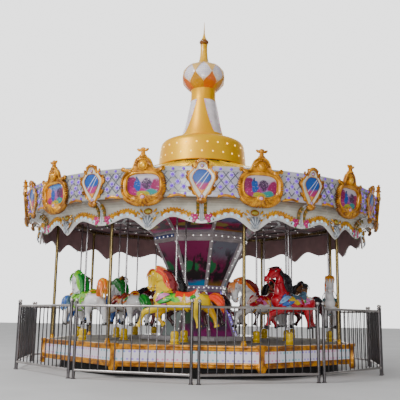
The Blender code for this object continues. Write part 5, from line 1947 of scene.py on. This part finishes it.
def towerPieces(sheet):
    # gold tapering panels, wide at the foot, and pale ones that widen upward between them
    panels, lamps = (Heap(), Heap(), Heap()), []
    low, rise, share = turret["towerLow"], turret["towerHigh"] - turret["towerLow"], 180 / turret["panels"]
    rows, columns = 20, 12
    for k in range(2 * turret["panels"]):
        middle, pale = turret["turn"] + share * k, k % 2
        rings, edges = [], ([], [])
        for i in range(rows + 1):
            t = i / rows
            half = turret["foot"] + (turret["head"] - turret["foot"]) * t ** 0.9
            half = share - half if pale else half
            radius, z = towerRadius(t) - 0.006 * pale, low + rise * t
            turns = [middle - half + 2 * half * j / columns for j in range(columns + 1)]
            back = [polar(radius - 0.04, a, z) for a in turns[::-1]]
            rings.append([polar(radius, a, z) for a in turns] + back)
            for side, edge in zip((-1, 1), edges):
                edge.append(polar(radius + 0.004, middle + side * half, z))
                if pale and (i % 4 == 2 or i == rows - 1):
                    azimuth = middle + side * max(half - 4, 3)
                    lamps.append((polar(radius + 0.001, azimuth, z), polar(1, azimuth)))
        panels[pale].loft(rings, (0.96, 0.91, 1.0) if pale else (1, 1, 1))
        for edge in edges if pale else ():
            panels[2].tube(edge, 0.006, 6, (0.90, 0.50, 0.30))
    core = Heap()
    core.turned(((0.42, low), (0.27, turret["towerHigh"])), 32)
    fit(panels[0], "tower_gold_panels", sheet, 40, "gold_paint", "turret_tower")
    fit(panels[1], "tower_pale_panels", "enamel", 40, "white_enamel")
    fit(panels[2], "tower_panel_edges", "enamel", 40, "gold_paint")
    fit(core, "tower_core", "mauve", 40, "gold_paint")
    studs("tower_lamps", lamps, 0.014, "pinkLamp")
    neck = Heap()
    low = turret["towerHigh"] + clearance
    profile = ((0.300, low), (0.300, low + 0.018), (0.287, low + 0.026), (0.285, 6.24), (0.292, 6.262),
               (0.292, turret["neckHigh"]))
    neck.turned(profile, 64)
    fit(neck, "neck_sheet", sheet, 35, "gold_paint", "turret_neck")


domeSteps = 60
domeLine = through([(0.292, 0, 6.2703), (0.375, 0, 6.335), (0.448, 0, 6.425), (0.486, 0, 6.54),
                    (0.486, 0, 6.64), (0.452, 0, 6.75), (0.380, 0, 6.83), (0.285, 0, 6.885),
                    (0.205, 0, 6.92), (0.158, 0, 6.95)], domeSteps + 1)


def onDome(azimuth, t, out=0.0):
    # t runs up the onion dome from 0 to 1
    i = min(int(t * domeSteps), domeSteps - 1)
    spot = domeLine[i].lerp(domeLine[i + 1], t * domeSteps - i)
    return polar(spot.x + out, azimuth, spot.z)


def kiteEdges(azimuth):
    # where the pale kites at 0, 45 ... begin and end; they meet their neighbours at their corners
    away = abs((azimuth + 22.5) % 45 - 22.5) / 22.5
    rise, half = turret["kiteSide"] - turret["kiteFoot"], 1 - away
    foot = turret["kiteSide"] - rise * (half * (1.3 - 0.3 * half) + 0.06 * sin(2 * pi * half))
    return foot, turret["kiteTop"] - (turret["kiteTop"] - turret["kiteSide"]) * away ** 0.9, away


def domePieces():
    ball, petals, edges, lamps = Heap(), Heap(), Heap(), []
    ball.turned([(p.x, p.z) for p in domeLine[::2] + domeLine[-1:]], 64, (0.95, 0.92, 0.98))
    # the petals alternate dark gold and orange: a painted reflection
    tints = ((0.74, 0.15, 0.002), (0.66, 0.30, 0.002))
    for upper in (0, 1):
        rings, rim = [], []
        for azimuth in around(96):
            foot, head, away = kiteEdges(azimuth)
            low, high = (head, 0.985) if upper else (0.0, foot)
            lift = 0.010 if upper else 0.006 + 0.014 * away ** 0.5
            rows = [low + (high - low) * j / 12 for j in range(13)]
            back = [onDome(azimuth, t, -0.006) for t in rows[::-1]]
            rings.append([onDome(azimuth, t, lift) for t in rows] + back)
            rim.append(onDome(azimuth, head if upper else foot, lift + 0.002))
        petals.loft(rings, (0.98, 0.60, 0.16) if upper else (lambda i, k: tints[i // 12 % 2]), loop=True)
        edges.tube(rim, 0.0075, 6, (0.98, 0.66, 0.30), loop=True)
    for azimuth in around(8):
        edges.tube([onDome(azimuth, 0.20 * j / 6, 0.008) for j in range(7)], 0.006, 6, (0.60, 0.26, 0.01))
        # a bright bead at each kite's foot: a painted highlight
        edges.ball(onDome(azimuth, 0.215, 0.012), 0.015, (1.0, 0.62, 0.24), 6, 9)
    for i in range(10):
        for azimuth in around(72):
            foot, head, away = kiteEdges(azimuth)
            t = 0.25 + 0.055 * i
            if foot + 0.035 < t < head - 0.035:
                lamps.append((onDome(azimuth, t, 0.001), polar(1, azimuth, 0.3)))
    fit(ball, "dome_mesh_skin", "enamel", 50, "white_enamel", "onion_dome")
    fit(petals, "dome_petals", "enamel", 50, "gold_paint")
    fit(edges, "dome_petal_edges", "enamel", 50, "gold_paint")
    studs("dome_lamps", lamps, 0.0085, "lilacPetal", detail=1)
    spire = Heap()
    profile = [(0.158, 6.9503), (0.130, 6.980), (0.110, 7.035), (0.094, 7.12), (0.084, 7.24), (0.080, 7.36),
               (0.086, 7.42), (0.060, 7.43), (0.066, 7.436), (0.096, 7.455), (0.112, 7.485), (0.108, 7.515),
               (0.088, 7.535), (0.080, 7.545), (0.070, 7.56), (0.048, 7.60), (0.030, 7.65), (0.018, 7.72),
               (0.011, 7.85), (0.003, 8.018)]

    def shade(i, k):
        return (0.26, 0.085, 0.004) if 7 <= i <= 12 else (0.94, 0.50, 0.010)

    spire.turned(profile, 32, shade)
    fit(spire, "spire_turning", "enamel", 40, "gold_paint", "spire")


roofPiece()
sheetPaint = turretPaint()
drumPieces(sheetPaint)
towerPieces(sheetPaint)
domePieces()
print("turret done")
